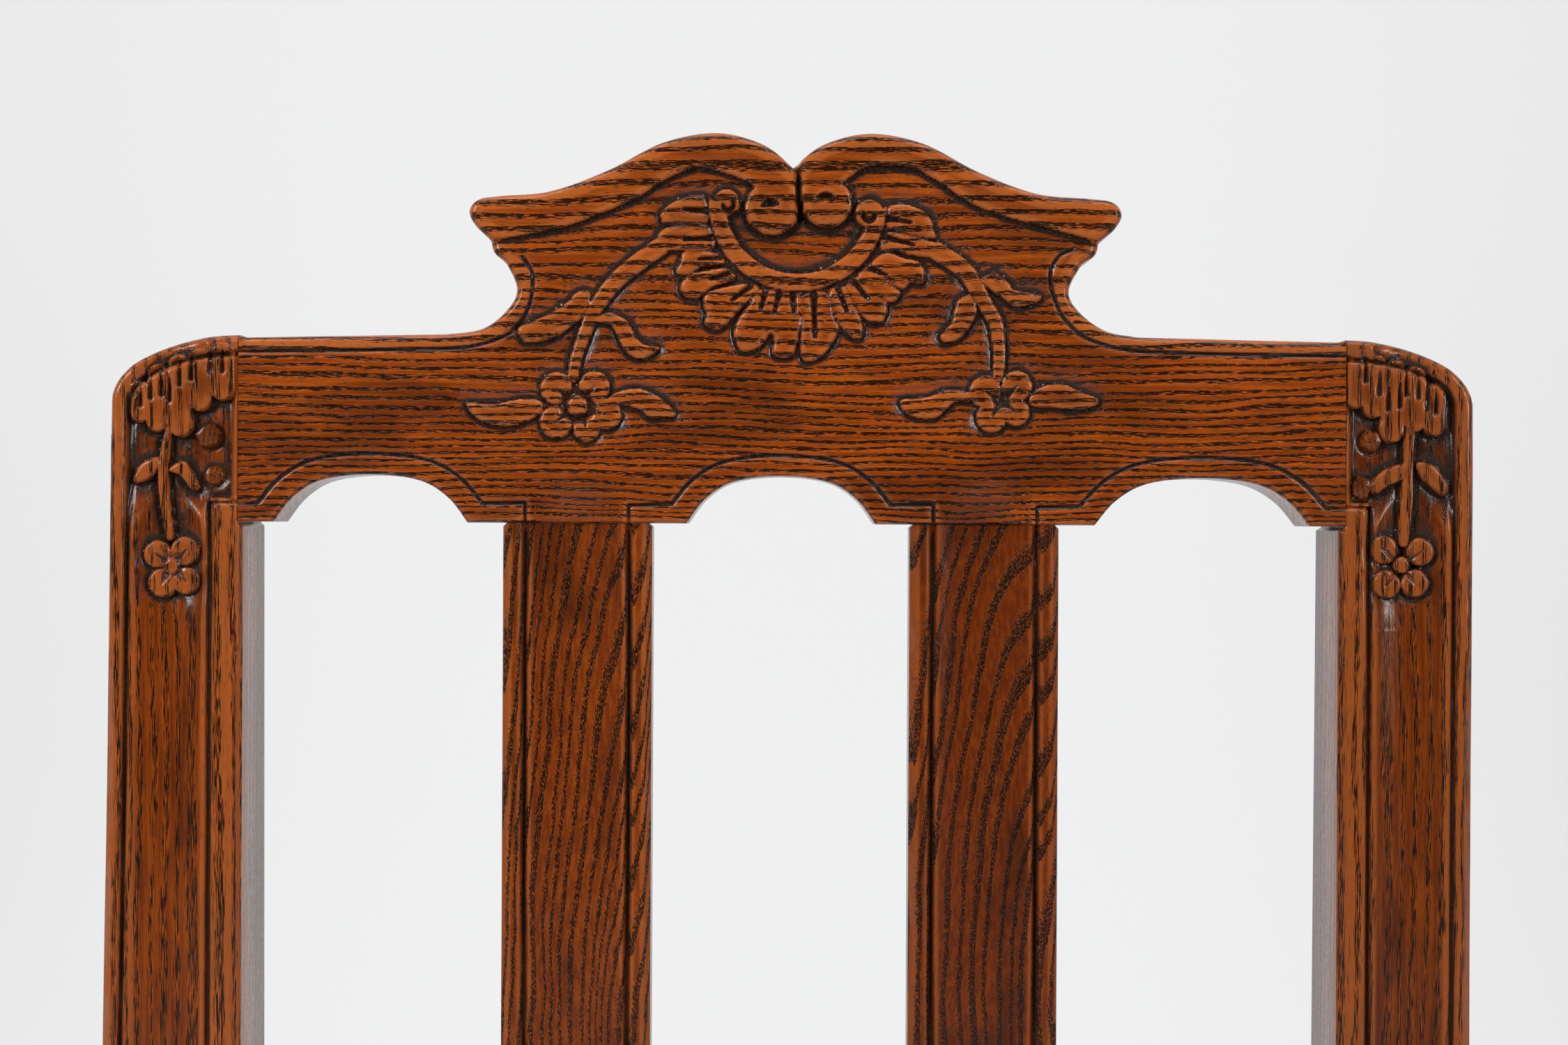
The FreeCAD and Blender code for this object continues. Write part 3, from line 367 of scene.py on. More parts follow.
def on_back(u, s, d):
    """Points of the chair in metres from a place on the back."""
    y, z, lean = slope_line(s)
    return np.stack([u, stile_front + y + d * np.cos(lean), z - d * np.sin(lean)], -1) * MM


def even(thickness):
    """Depth of a board that has the same thickness all over."""
    return lambda u, s: np.full(u.shape, thickness)


def board(name, node, material, us, ss, outline, height, depth, place=on_back, back_round=1.5, stain_and_shade=None,
          rub_and_highlight=None, proud_highlight=0.65):
    """Piece of wood with a worked face: a grid trimmed to the outline, walls and a plain back."""
    trims, nudge = 3, 0.05
    face_edge = 1.2
    U, S = np.meshgrid(us, ss)
    cell = 0.5 * np.maximum(np.gradient(us)[None, :], np.gradient(ss)[:, None])
    far = outline(U, S)
    on = np.abs(far) <= cell
    out = (far > 0) & ~on
    for _ in range(trims):
        far = outline(U, S)
        gu = (outline(U[on] + nudge, S[on]) - outline(U[on] - nudge, S[on])) / (2 * nudge)
        gs = (outline(U[on], S[on] + nudge) - outline(U[on], S[on] - nudge)) / (2 * nudge)
        size = np.maximum(gu ** 2 + gs ** 2, 0.25)
        U[on] -= far[on] * gu / size
        S[on] -= far[on] * gs / size
    normals = np.zeros(U.shape + (2,))
    normals[on] = np.stack([gu, gs], -1) / np.sqrt(size)[:, None]
    H = height(U, S)
    soft = np.where(out, H[~out].mean(), H)

    def hollow(width, full):
        """Share of a full hollow in the face, or of a full rise where full is negative."""
        return np.clip((blurred(soft, width) - soft) / full, 0, 1)

    # Wax darkens the hollows, and the same value paints shade into them where they lie deep; a strip along
    # the edge, and what stands proud, is worn and painted lighter as a highlight
    border = step(4.5, 2.0, -outline(U, S))
    low = hollow(2.2, 0.6)
    wax = (1 - border) * (low + hollow(6.0, 4.0))
    # Painted highlight as well as wear: convex places, the edge strip and proud forms are made lighter
    worn = hollow(2.0, -0.5) + 0.9 * border * low + proud_highlight * hollow(10.0, -0.9)
    # Extra darkening of the piece: old wax together with painted shade in its sunk ground and cut lines
    if stain_and_shade:
        wax = wax + stain_and_shade(U, S, H)
    # Extra lightening of the piece: rubbing together with painted highlights
    if rub_and_highlight:
        worn = worn + rub_and_highlight(U, S)
    index = np.full(U.shape, -1)
    index[~out] = np.arange((~out).sum())
    verts = list(place(U[~out], S[~out], -H[~out]))
    corners = np.stack([index[:-1, :-1], index[:-1, 1:], index[1:, 1:], index[1:, :-1]], -1).reshape(-1, 4)
    kept = (corners >= 0).sum(1)
    faces = [tuple(q) for q in corners[kept == 4].tolist()]
    faces += [tuple(k for k in q if k >= 0) for q in corners[kept == 3].tolist()]
    edges = {}
    for face in faces:
        for a, b in zip(face, face[1:] + face[:1]):
            if (b, a) in edges:
                del edges[(b, a)]
            else:
                edges[(a, b)] = True
    rim = sorted({a for a, _ in edges})
    row = {k: n for n, k in enumerate(rim)}
    flat_u, flat_s, flat_n = U[~out][rim], S[~out][rim], normals[~out][rim]
    thick = depth(flat_u, flat_s)
    first = len(verts)
    eased = 0.3 * back_round
    walls = ((0.0, face_edge - H[~out][rim]), (0.0, thick - back_round), (eased, thick - eased))
    for inset, deep in walls:
        verts += list(place(flat_u - inset * flat_n[:, 0], flat_s - inset * flat_n[:, 1], deep))
    count = len(rim)
    rings = [rim] + [[first + k * count + n for n in range(count)] for k in range(len(walls))]
    inner = [Vector(p) for p in np.stack([flat_u, flat_s], -1) - back_round * flat_n]
    spots, _, plain, origin, _, _ = delaunay_2d_cdt(inner, [(row[a], row[b]) for a, b in edges], [], 1, 1e-4)
    last = len(verts)
    spots = np.array([tuple(p) for p in spots])
    verts += list(place(spots[:, 0], spots[:, 1], depth(spots[:, 0], spots[:, 1])))
    home = {k: last + n for n, ids in enumerate(origin) for k in ids}
    rings.append([home[n] for n in range(count)])
    faces += [tuple(last + k for k in reversed(face)) for face in plain]
    for a, b in edges:
        for near_ring, far_ring in zip(rings[:-1], rings[1:]):
            faces.append((near_ring[row[b]], near_ring[row[a]], far_ring[row[a]], far_ring[row[b]]))
    extra = np.zeros(len(verts) - first - count)
    wax, worn = [np.concatenate([data[~out], data[~out][rim], extra]) for data in (wax, worn)]
    return make_piece(name, verts, faces, material, "chair_frame", "waxed_wood", (node,), wax=wax, worn=worn)


# Materials

class Graph:
    """Short way to write the nodes of a material, or of the world."""

    def __init__(self, name, library="materials"):
        self.material = getattr(bpy.data, library).new(name)
        self.material.use_nodes = True
        self.tree = self.material.node_tree
        self.shader = self.tree.nodes.get("Principled BSDF")

    def add(self, kind, *inputs, **settings):
        """New node with its first inputs given in order."""
        made = self.tree.nodes.new("ShaderNode" + kind)
        for key, value in settings.items():
            setattr(made, key, value)
        for key, value in enumerate(inputs):
            self.put(made.inputs[key], value)
        return made

    def put(self, socket, value):
        """Links or sets one input; None leaves it alone."""
        if value is None:
            return
        if hasattr(value, "is_output"):
            self.tree.links.new(value, socket)
        elif hasattr(value, "outputs"):
            self.tree.links.new(value.outputs[0], socket)
        else:
            socket.default_value = value

    def math(self, kind, a, b=None):
        return self.add("Math", a, b, operation=kind).outputs[0]

    def plus(self, a, b):
        return self.math("ADD", a, b)

    def minus(self, a, b):
        return self.math("SUBTRACT", a, b)

    def times(self, a, b):
        return self.math("MULTIPLY", a, b)

    def place(self):
        return self.add("TexCoord").outputs["Object"]

    def painted(self, name):
        """Value stored on the points of the mesh."""
        return self.add("Attribute", attribute_name=name).outputs["Fac"]

    def ramp(self, x, low, high, start=0.0, end=1.0):
        """Smooth change from start at low to end at high."""
        made = self.add("MapRange", x, low, high, start, end, interpolation_type="SMOOTHSTEP")
        return made.outputs[0]

    def mix(self, factor, a, b, kind="MIX"):
        made = self.add("Mix", data_type="RGBA", blend_type=kind)
        for key, value in ((0, factor), (6, a), (7, b)):
            self.put(made.inputs[key], value)
        return made.outputs[2]

    def noise(self, vector, scale, detail=2.0, rough=0.5):
        made = self.add("TexNoise")
        self.put(made.inputs["Vector"], vector)
        for key, value in (("Scale", scale), ("Detail", detail), ("Roughness", rough)):
            made.inputs[key].default_value = value
        return made.outputs["Fac"]

    def stretched(self, vector, scales):
        return self.add("VectorMath", vector, scales, operation="MULTIPLY").outputs[0]

    def finish(self, bump=None, distance=0.0003, strength=0.6, **sockets):
        """Sets the shader's own sockets and a bump, and gives back the material."""
        for key, value in sockets.items():
            self.put(self.shader.inputs[key.replace("_", " ")], value)
        if bump is not None:
            made = self.add("Bump")
            made.inputs["Strength"].default_value = strength
            made.inputs["Distance"].default_value = distance
            self.put(made.inputs["Height"], bump)
            self.put(self.shader.inputs["Normal"], made)
        return self.material


# Colours of late wood, of early wood and of dark patches
waxed_tones = ((0.18, 0.032, 0.0026), (0.46, 0.112, 0.0085), (0.062, 0.0115, 0.0016))
raw_tones = ((0.33, 0.19, 0.09), (0.46, 0.31, 0.17), (0.22, 0.12, 0.05))
# Colour of worn places, also used for painted highlights on edges and proud forms
worn_highlight_tone = (0.46, 0.145, 0.03)
pore_colour = (0.008, 0.003, 0.001, 1)
# Dark of old wax, also used for painted shade in hollows and cut lines
wax_and_shade_colour = (0.014, 0.008, 0.0055, 1)
dust_colour = (0.16, 0.12, 0.09, 1)


def wood(name, fibre, radial, pith, spacing, seed, tone=1.0, tighten=0.0, sparse=0.43, warm=0.93,
         dash=0.33, tones=waxed_tones):
    """Ring-porous wood: rows of dark open pores on each ring, stained, waxed and worn, with painted shade in
    its hollows and painted highlights on its edges and proud parts.

    The rings lie round the pith, spaced in millimetres, and tighten outwards. Sparse is the level that pores
    have to pass, dash how fast they change along the fibre and warm the share of green and blue.
    """
    g = Graph(name)
    along = Vector(fibre).normalized()
    out = Vector(radial)
    out = (out - along * out.dot(along)).normalized()
    turn = Matrix((along, out, along.cross(out)))
    origin = turn @ Vector(pith)
    place = g.add("Mapping", g.place(), vector_type="POINT")
    place.inputs["Rotation"].default_value = turn.to_euler("XYZ")
    place.inputs["Location"].default_value = (seed * 0.37 - origin.x, -origin.y, -origin.z)
    grain = g.stretched(place, (1 / MM, 1 / MM, 1 / MM))

    def streaky(lengthwise, crosswise, detail, rough=0.5):
        """Noise drawn out along the fibre."""
        return g.noise(g.stretched(grain, (lengthwise, crosswise, crosswise)), 1.0, detail, rough)

    # Distance from the pith, made uneven, and the place in the ring
    parts = g.add("SeparateXYZ", grain).outputs
    across = parts[1]
    for uneven, size in ((streaky(0.012, 0.03, 2.0), 9.0), (streaky(0.05, 0.35, 1.0), 1.3)):
        across = g.plus(across, g.times(g.minus(uneven, 0.5), size))
    reach = g.math("SQRT", g.plus(g.times(across, across), g.times(parts[2], parts[2])))
    years = g.noise(g.add("CombineXYZ", g.times(reach, 0.09), seed, 0.0), 1.0, 1.0)
    rings = g.plus(g.math("DIVIDE", reach, spacing), g.times(years, 2.4))
    rings = g.plus(rings, g.times(g.times(reach, reach), tighten))
    phase = g.math("FRACT", rings)
    early = g.times(g.ramp(phase, 0.0, 0.08), g.ramp(phase, 0.2, 0.75, 1.0, 0.0))

    # Pores, thick in the early wood and rare in the late
    limit = g.ramp(early, 0.0, 1.0, 0.68, sparse)
    pores = g.ramp(g.minus(streaky(dash, 4.8, 1.0, 0.45), limit), -0.02, 0.04)
    flecks = g.ramp(streaky(0.5, 6.0, 0.0), 0.62, 0.72)

    # Colour of the wood, lighter where it is rubbed and where a highlight is painted on edges and proud parts
    late, pale, deep = [(tone * red, tone * warm * green, tone * warm * blue, 1)
                        for red, green, blue in tones]
    colour = g.mix(g.ramp(early, 0.0, 1.0, 0.12, 0.8), late, pale)
    colour = g.mix(g.ramp(streaky(0.03, 0.8, 2.0), 0.35, 0.7, 0.0, 0.55), colour, pale)
    colour = g.mix(g.ramp(streaky(0.02, 0.06, 3.0), 0.45, 0.7, 0.0, 0.6), colour, deep)
    colour = g.mix(g.times(flecks, 0.35), colour, deep)
    worn_highlight = [c * k * tone ** 0.5 for c, k in zip(worn_highlight_tone, (1, warm, warm))] + [1]
    # Painted highlight: edges, beads and proud forms are made lighter, as well as worn
    colour = g.mix(g.ramp(g.painted("worn"), 0.1, 1.0, 0.0, 0.55), colour, worn_highlight)
    colour = g.mix(g.times(pores, 0.96), colour, pore_colour)

    # Old wax in the cuts, blotched and dusty, which also stands for painted shade in the deep hollows and cut
    # lines
    wax = g.painted("wax")
    grime = g.noise(grain, 0.9, 3.0, 0.6)
    blotches = g.times(g.minus(g.noise(grain, 0.22, 3.0, 0.6), 0.5), 1.3)
    # Painted shade: this darkening of the hollows and cut lines stands in for the shade that falls in them,
    # as well as for old wax
    dark = g.ramp(g.plus(wax, g.times(blotches, g.ramp(wax, 0.05, 0.3))), 0.2, 0.9)
    colour = g.mix(g.times(dark, 0.94), colour, wax_and_shade_colour)
    specks = g.ramp(g.noise(grain, 2.6, 1.0), 0.66, 0.74)
    colour = g.mix(g.times(g.times(specks, dark), 0.5), colour, dust_colour)

    bump = g.minus(g.times(streaky(0.1, 0.4, 2.0, 0.55), 1.6), g.times(pores, 0.3))
    bump = g.plus(bump, g.times(g.times(grime, dark), 0.8))
    return g.finish(bump, distance=0.0002, strength=0.45, Base_Color=colour,
                    Roughness=g.ramp(grime, 0.3, 0.7, 0.15, 0.25), Specular_IOR_Level=0.22)


def back_point(u, v, d):
    """Point of the back in metres, v from the bottom of the crest."""
    return Vector(on_back(u, crest_base + v, d))


ACROSS = Vector((1, 0, 0))
UP_SLOPE = Vector((0, math.sin(back_rake), math.cos(back_rake)))
INTO = Vector((0, math.cos(back_rake), -math.sin(back_rake)))

crest_wood = wood("wood_crest", ACROSS, UP_SLOPE, back_point(0, 190, 60), 40.0, 1.0, 0.79, tighten=0.0011,
                  sparse=0.365, warm=0.85)
stile_woods = [wood("wood_stile_" + side, UP_SLOPE + sign * 0.006 * ACROSS, ACROSS,
                    back_point(sign * 150, 0, 50), 3.4, seed, tone, sparse=0.45, warm=0.84, dash=0.16)
               for side, sign, seed, tone in (("left", -1, 2.0, 0.57), ("right", 1, 3.0, 0.44))]
slat_woods = [wood("wood_slat_left", UP_SLOPE + 0.21 * INTO, ACROSS, back_point(-30, -210, 0), 3.1, 4.0,
                   0.58, sparse=0.39, warm=0.82),
              wood("wood_slat_right", UP_SLOPE + 0.3 * INTO, ACROSS, back_point(97, -165, 0), 4.6, 5.0,
                   0.42, sparse=0.38, warm=0.76)]
rail_wood = wood("wood_lower_rail", ACROSS, UP_SLOPE, back_point(0, -250, 70), 3.4, 6.0)
seat_wood = wood("wood_seat_rails", ACROSS, (0, 0.3, 1), Vector((0, 0.05, 0.27)), 3.3, 7.0)
side_wood = wood("wood_side_rails", (0, 1, 0), (0.3, 0, 1), Vector((0.05, 0, 0.28)), 3.5, 8.0)
leg_wood = wood("wood_front_legs", (0, 0, 1), (1, 0.6, 0), Vector((0.05, -0.1, 0)), 3.0, 9.0)
peg_wood = wood("wood_pegs", INTO, ACROSS, back_point(0, 0, 0), 1.6, 11.0, 0.5)


# Crest rail

stops = [-joint_u] + [middle + way * slat_width / 2 for middle in slat_middles for way in (-1, 1)] + [joint_u]
gap_edges = [(low + arch_margin, high - arch_margin) for low, high in zip(stops[::2], stops[1::2])]
arch_shape = ((0, 0), (0.1, 0.52), (0.25, 0.88), (0.5, 1), (0.75, 0.88), (0.9, 0.52), (1, 0))
arch_rise = 15.8
cove = ((114.7, 62.4), (102.4, 64.4), (94, 71.3), (91.4, 78.1), (95.4, 86.8))
ovolo = ((95.4, 86.8), (99, 89.6), (100.2, 93.9))
cyma = ((100.2, 93.9), (105.1, 98.4), (107.2, 103.2), (104.2, 107.1), (97, 108.3), (80.2, 110), (61.3, 117),
        (43.1, 126.3), (25.1, 129.5), (9.5, 125.5), (0, 117.9))
notch_u = 1.75                 # the two halves meet a little to the right
eave_extra = 1.7               # the right eave runs out a little further
eave_growth = (88, 105)        # where that begins and is full
cove_start = 112               # the cove beyond here keeps its place


def crest_top(side):
    """Upper edge from the stile to the middle."""
    half = [(joint_u, crest_shoulder)] + smooth(cove) + smooth(ovolo)[1:] + smooth(cyma)[1:]
    points = []
    for u, v in half:
        if side > 0 and u < cove_start:
            u += eave_extra * float(step(*eave_growth, u))
        points.append(np.array((side * u if u > 0 else 0.0, v)))
    return points


def arch(gap, rise, level, grow=0.0):
    """Curve of one arch over a gap, grown to both sides."""
    low, high = gap
    return smooth([(low - grow + f * (high - low + 2 * grow), level + g * rise) for f, g in arch_shape])


def arched_line(gaps, rise, level, end, grow=0.0):
    """Lower edge, or the cut line above it, over a row of arches between -end and end."""
    arches = [p for gap in gaps for p in arch(gap, rise, level, grow)]
    return [np.array((-end, level))] + arches + [np.array((end, level))]


top_edge = crest_top(-1) + crest_top(1)[::-1][1:]
bottom_edge = arched_line(gap_edges, arch_rise, 0.0, joint_u)
crest_loop = top_edge + bottom_edge[::-1]

band_left = ((-103, 93), (-88, 95.5), (-74.5, 98.5), (-62.5, 103), (-51.5, 108), (-44, 113), (-38, 116),
             (-31, 118), (-22, 116), (-15.5, 113.5), (-12.5, 111))
band_right = ((103, 93.5), (84, 98.5), (69, 102.5), (58, 107), (48.5, 113.5), (39.5, 118), (31, 119),
              (23.5, 118), (18, 114.5))
volutes = (((-7, 104.5), 8.7), ((11.3, 106.5), 8.0))
volute_eyes = (((-10.2, 105.2, 0.7), (-7.7, 106.2, 1.7), (-5.2, 105.8, 0.8)),
               ((8.2, 108.3, 0.6), (11, 108.8, 1.2), (13.8, 108, 0.6)))
scroll_centre = (1.5, 106.5)
scroll_radii = (23.9, 29.4)
scroll_heads = (((-22, 106.3), 4.2), ((25.3, 103), 4.5))
scroll_eyes = (((-21.4, 105.6), 180, 400), ((25.1, 102.2), 150, 380))

shell_lobes = (
    ((-28, 107.5), (-31.5, 108.5), (-35.5, 108), (-40, 106), (-43.5, 103), (-43.5, 101), (-41.5, 99),
     (-28, 99.5)),
    ((-27, 98.5), (-35.5, 98.5), (-41.5, 98), (-44.5, 95.5), (-45, 93), (-42.5, 90.5), (-37, 90.5),
     (-26, 91)),
    ((-25, 89.5), (-35.5, 90), (-37, 87), (-38.5, 83.5), (-37, 82.5), (-34, 82.5), (-30, 85), (-23, 86)),
    ((-22, 84.5), (-29, 83.5), (-34, 82.5), (-36.5, 80), (-37, 77), (-35, 75), (-31, 75), (-26, 78.5),
     (-19, 81)),
    ((-14.5, 79.5), (-25.5, 77.5), (-29, 75.5), (-29.5, 72.5), (-28.5, 69.5), (-29, 66), (-26.5, 64.5),
     (-23, 65), (-17, 71.5), (-11, 77.5)),
    ((-11, 77.5), (-14, 73), (-17, 69), (-19, 65), (-19, 61.5), (-17, 57.5), (-13.5, 57.5), (-10, 59.5),
     (-7.5, 63), (-6, 61.5), (-6.5, 56.5), (-4, 55), (-0.5, 55.5), (1, 58), (2.5, 65), (3, 76)),
    ((3.5, 76), (3, 65), (2.5, 59), (3.5, 54.5), (6.5, 54), (9.5, 55.5), (12.5, 59), (15.5, 65), (14, 68),
     (11, 77)),
    ((12, 77.5), (14, 69.5), (16, 65.5), (19, 62.5), (21.5, 61.5), (23, 62.5), (23, 67), (21, 71.5),
     (18, 78.5)),
    ((17.5, 79), (21.5, 71), (24, 68), (27, 66.5), (29.5, 67), (31, 70), (31, 73.5), (27.5, 77), (22, 82)),
    ((21.5, 82.5), (28.5, 75.5), (32, 73.5), (35, 75), (35.5, 77), (33.5, 78.5), (30.5, 80.5), (26, 85.5)),
    ((26, 86.5), (31, 90), (37, 88), (41.5, 87), (43.5, 84), (43, 80), (39, 80), (36.5, 78), (32.5, 79.5),
     (28, 82.5)),
    ((30, 104.5), (36, 106), (41.5, 104.5), (45, 102), (46.5, 98), (46, 94.5), (31, 98.5)),
    ((30.5, 97), (46.5, 93.5), (48.5, 91), (47.5, 88.5), (40, 89), (34, 90.5), (29, 91)),
)
shell_gouges = (
    ((-28, 103.5, 0.9), (-36, 104, 0.5)), ((-27, 94.5, 0.9), (-36, 94, 0.4)),
    ((-24, 88, 0.9), (-31, 87.5, 0.4)),
    ((-21, 83, 1.0), (-27, 81, 0.5)), ((-14, 78.5, 0.9), (-20, 74, 0.5)), ((-9, 77, 0.9), (-10.5, 71, 0.5)),
    ((-4.5, 76, 0.9), (-6, 70, 0.5)), ((0, 76, 0.9), (0.5, 70, 0.5)), ((7, 76, 1.0), (7.5, 62, 0.6)),
    ((15, 78, 0.9), (18, 70.5, 0.5)), ((20, 80.5, 0.9), (25, 74.5, 0.5)), ((26, 84.5, 0.9), (31, 82.5, 0.4)),
    ((29, 95.5, 0.9), (40, 92.5, 0.4)), ((29, 101.5, 1.0), (39, 100, 0.5)),
)
sprays = (
    dict(
        stem=((-44, 91.5, 2.9), (-53.5, 84.5, 2.8), (-59.5, 79, 2.6), (-65, 71.5, 2.4), (-67.5, 66, 2.2),
              (-69.5, 60.5, 2.0), (-71.5, 54.5, 1.8), (-72.5, 48.5, 1.8)),
        leaves=(
            ((-67, 76.5), (-71, 76.5), (-74.5, 73), (-78, 70.5), (-82.5, 68), (-90, 65), (-90.5, 62.5),
             (-88.5, 60), (-83.5, 60), (-78.5, 61.5), (-74, 64.5), (-70, 67.5), (-67.5, 71.5)),
            ((-66, 68), (-61.5, 69.5), (-58.5, 69), (-54.5, 66.5), (-52, 62), (-49, 59), (-44.5, 58),
             (-46.5, 56), (-50.5, 54.5), (-54.5, 56.5), (-57, 60), (-60, 65.5), (-66, 66.5)),
            ((-83, 40), (-89, 41), (-99, 39), (-107, 39.5), (-107, 37.5), (-104, 34.5), (-99.5, 32.5),
             (-94, 32), (-89, 33), (-83, 36.5)),
            ((-60, 42), (-55.5, 44), (-51, 44.5), (-46.5, 43), (-43, 41), (-38.5, 36), (-43.5, 35), (-47, 35),
             (-51, 38), (-60, 40)),
        ),
        petals=(((-78, 44.5), 5.2), ((-65.5, 45), 5.1), ((-61.7, 36), 5.2), ((-68, 31.5), 4.4),
                ((-78, 33.5), 5.4)),
        button=((-71, 38.7), 3.3),
    ),
    dict(
        stem=((47.5, 90.5, 2.9), (56.5, 84.5, 2.8), (61.5, 77, 2.6), (64, 72.5, 2.4), (67, 67.5, 2.3),
              (68, 62, 2.1), (68.5, 55.5, 1.9), (68, 49, 1.8)),
        leaves=(
            ((59, 76), (55, 74.5), (53.5, 70.5), (52.5, 66.5), (49, 62.5), (50.5, 60.5), (53.5, 61),
             (56.5, 63), (59, 66.5), (61, 71)),
            ((62, 81), (65.5, 83), (68.5, 82.5), (71.5, 80), (73.5, 77.5), (82, 76), (80, 73.5), (76.5, 72.5),
             (73, 72.5), (70.5, 74.5), (66, 77.5)),
            ((59, 43.5), (53.5, 44.5), (49.5, 44), (44.5, 42), (36, 41), (37.5, 37), (41, 35.5), (44.5, 35),
             (48.5, 36), (53.5, 40.5), (59, 41)),
            ((79, 43), (83.5, 46), (90, 46.5), (94.5, 44.5), (101.5, 41.5), (98.5, 39), (92.5, 38),
             (86.5, 39), (79, 39.5)),
        ),
        petals=(((64, 44), 5.3), ((74.3, 46), 5.0), ((74, 37.5), 4.6), ((66, 35.7), 5.0)),
        button=((69.3, 41), 0.0),
    ),
)

shoulder_lines = (
    ((-89.5, 88), (-86.5, 83.5), (-86, 78), (-87.5, 71), (-91.5, 64.5), (-97, 61), (-105, 58.5),
     (-114.5, 57.6), (-150, 56.8), (-183, 56.3)),
    ((93, 91.5), (88, 89), (85.3, 84), (85.5, 78.5), (87, 74), (89, 69.5), (93, 65), (97, 62), (102.5, 60),
     (110, 58.2), (120, 57.4), (150, 56.8), (183, 56.3)),
)


def cut_lines():
    """Scratched lines of the crest: over the arches, down to the slats and inside the shoulders."""
    lift, grow, extra_rise = 6.3, 5.0, 0.5
    left, right = slat_middles
    feet = (((-joint_u, 5.7),), *(((u + slat_quirk, -0.5), (u + slat_quirk, 6.0)) for u in (left, right)))
    tails = (*(((u - slat_quirk, 6.6), (u - slat_quirk, -0.5)) for u in (left, right)), ((joint_u, 5.9),))
    lines = [[*foot, *arch(gap, arch_rise + extra_rise, lift, grow), *tail]
             for gap, foot, tail in zip(gap_edges, feet, tails)]
    return lines + [smooth(line) for line in shoulder_lines]


def cornice_loop(band, centre, side):
    """Raised band along the upper edge, ending in a volute."""
    above, beyond, eave_v = 140, side * 130, 93
    inner = (centre[0] - side, centre[1])
    return smooth(band) + [inner, (notch_u, inner[1]), (notch_u, above), (beyond, above), (beyond, eave_v)]


def eye_cut(u, v, centre, radius, start, end):
    """Crescent cut that winds into a scroll."""
    line = arc(centre, radius, start, end, 12)
    nodes = [(*p, 0.4 + 0.9 * math.sin(math.pi * (n + 1.5) / 14)) for n, p in enumerate(line)]
    return gouge(u, v, nodes, scroll_cut)


# Depths of the cuts in the crest
shell_cut = 2.1
heart_cut = 1.9
petal_cut = 1.5
ring_cut = 1.3                 # the shell sinks where it meets the C-scroll
volute_cut = 2.6
scroll_cut = 2.2
meeting_cut = 2.4
line_cut = 1.2
slat_run = 2.2                 # hollow of a slat, which runs out in the crest
bowl_rim, bowl_depth = 0.9, 2.0


def crest_ornament(u, v, rho):
    """Shell, flower sprays, C-scroll and cornice, in the order in which they overlap."""
    inner, outer = scroll_radii
    angle = np.degrees(np.arctan2(v - scroll_centre[1], u - scroll_centre[0]))
    lower_half = (angle < -6) | (angle > 178)
    ring = np.where(lower_half, np.abs(rho - (inner + outer) / 2) - (outer - inner) / 2, FAR)
    work = Carving(u, v)
    for loop in shell_lobes:
        work.leaf(loop, crown=1.1, shoulder=2.4)
    for spray in sprays:
        work.stem(spray["stem"], crown=0.8, shoulder=1.9)
        for loop in spray["leaves"]:
            work.leaf(loop, crown=0.9, shoulder=2.2)
        for centre, radius in spray["petals"]:
            work.disc(centre, radius, crown=0.8, shoulder=2.4)
    for spray in sprays:
        centre, radius = spray["button"]
        work.raised -= heart_cut * np.exp(-((away(u, v, centre) - radius - 0.6) / 1.7) ** 2)
        work.raised -= petal_cuts(u, v, spray, 0.4, 1.0, (1.1, 0.4), petal_cut)
        if radius:
            work.disc(centre, radius, crown=1.0, shoulder=2.2, top=0.1)
    work.raised -= ring_cut * np.exp(-np.abs(rho - outer) / 2.0) * (rho > outer)
    for nodes in shell_gouges:
        work.raised -= gouge(u, v, [(a, b, w + 0.35) for a, b, w in nodes], shell_cut)
    work.raise_shape(ring, crown=0.7, shoulder=1.8)
    for centre, radius in scroll_heads:
        work.disc(centre, radius, crown=0.7, shoulder=1.8)
    for band, (centre, radius), side in zip((band_left, band_right), volutes, (-1, 1)):
        far = np.minimum(signed(u, v, cornice_loop(band, centre, side)), away(u, v, centre) - radius)
        work.raise_shape(far, crown=0.9, shoulder=2.6, top=0.15)
    return work


def crest_height(u, s):
    """Face of the crest: carving on a sunk field, cut lines and hollows that run up from the slats."""
    v = s - crest_base
    rho = away(u, v, scroll_centre)
    dished = bowl_rim + bowl_depth * step(16, 2, rho) * step(88, 100, v)
    field = -np.where(rho < scroll_radii[0] + 1, dished, 0.0) * step(109, 104, v)
    field -= 0.25 * (1 + waver(u, v, 9.0, 1.0)) * step(40, 60, v)
    h = crest_ornament(u, v, rho).surface(field, 2.0, 3.6)
    for nodes in volute_eyes:
        h -= gouge(u, v, nodes, volute_cut)
    for centre, start, end in scroll_eyes:
        h -= eye_cut(u, v, centre, 1.8, start, end)
    meeting = [(notch_u - 0.3, 122, 1.0), (notch_u, 112, 1.3), (notch_u + 0.5, 101.5, 1.2)]
    h -= gouge(u, v, meeting, meeting_cut)
    for line in cut_lines():
        h -= incised(near_line(u, v, line), line_cut, 1.0)
    for middle in slat_middles:
        across = np.clip(np.abs(u - middle) / (slat_quirk - 1), 0, 1)
        h -= slat_run * (1 - across ** 2) * step(19, -2, v)
    top, bottom = (distance(u, v, edge) for edge in (top_edge, bottom_edge))
    h -= rolled(top, 2.6) * step(joint_u + 0.2, joint_u - 3, np.abs(u)) + rolled(bottom, 1.3)
    return h + 0.10 * waver(u, v, 14.0, 4.0)


def crest_outline(u, s):
    """Signed distance to the crest's outline."""
    return near(u, s - crest_base, crest_loop, 2.0, signed, crest_loop)


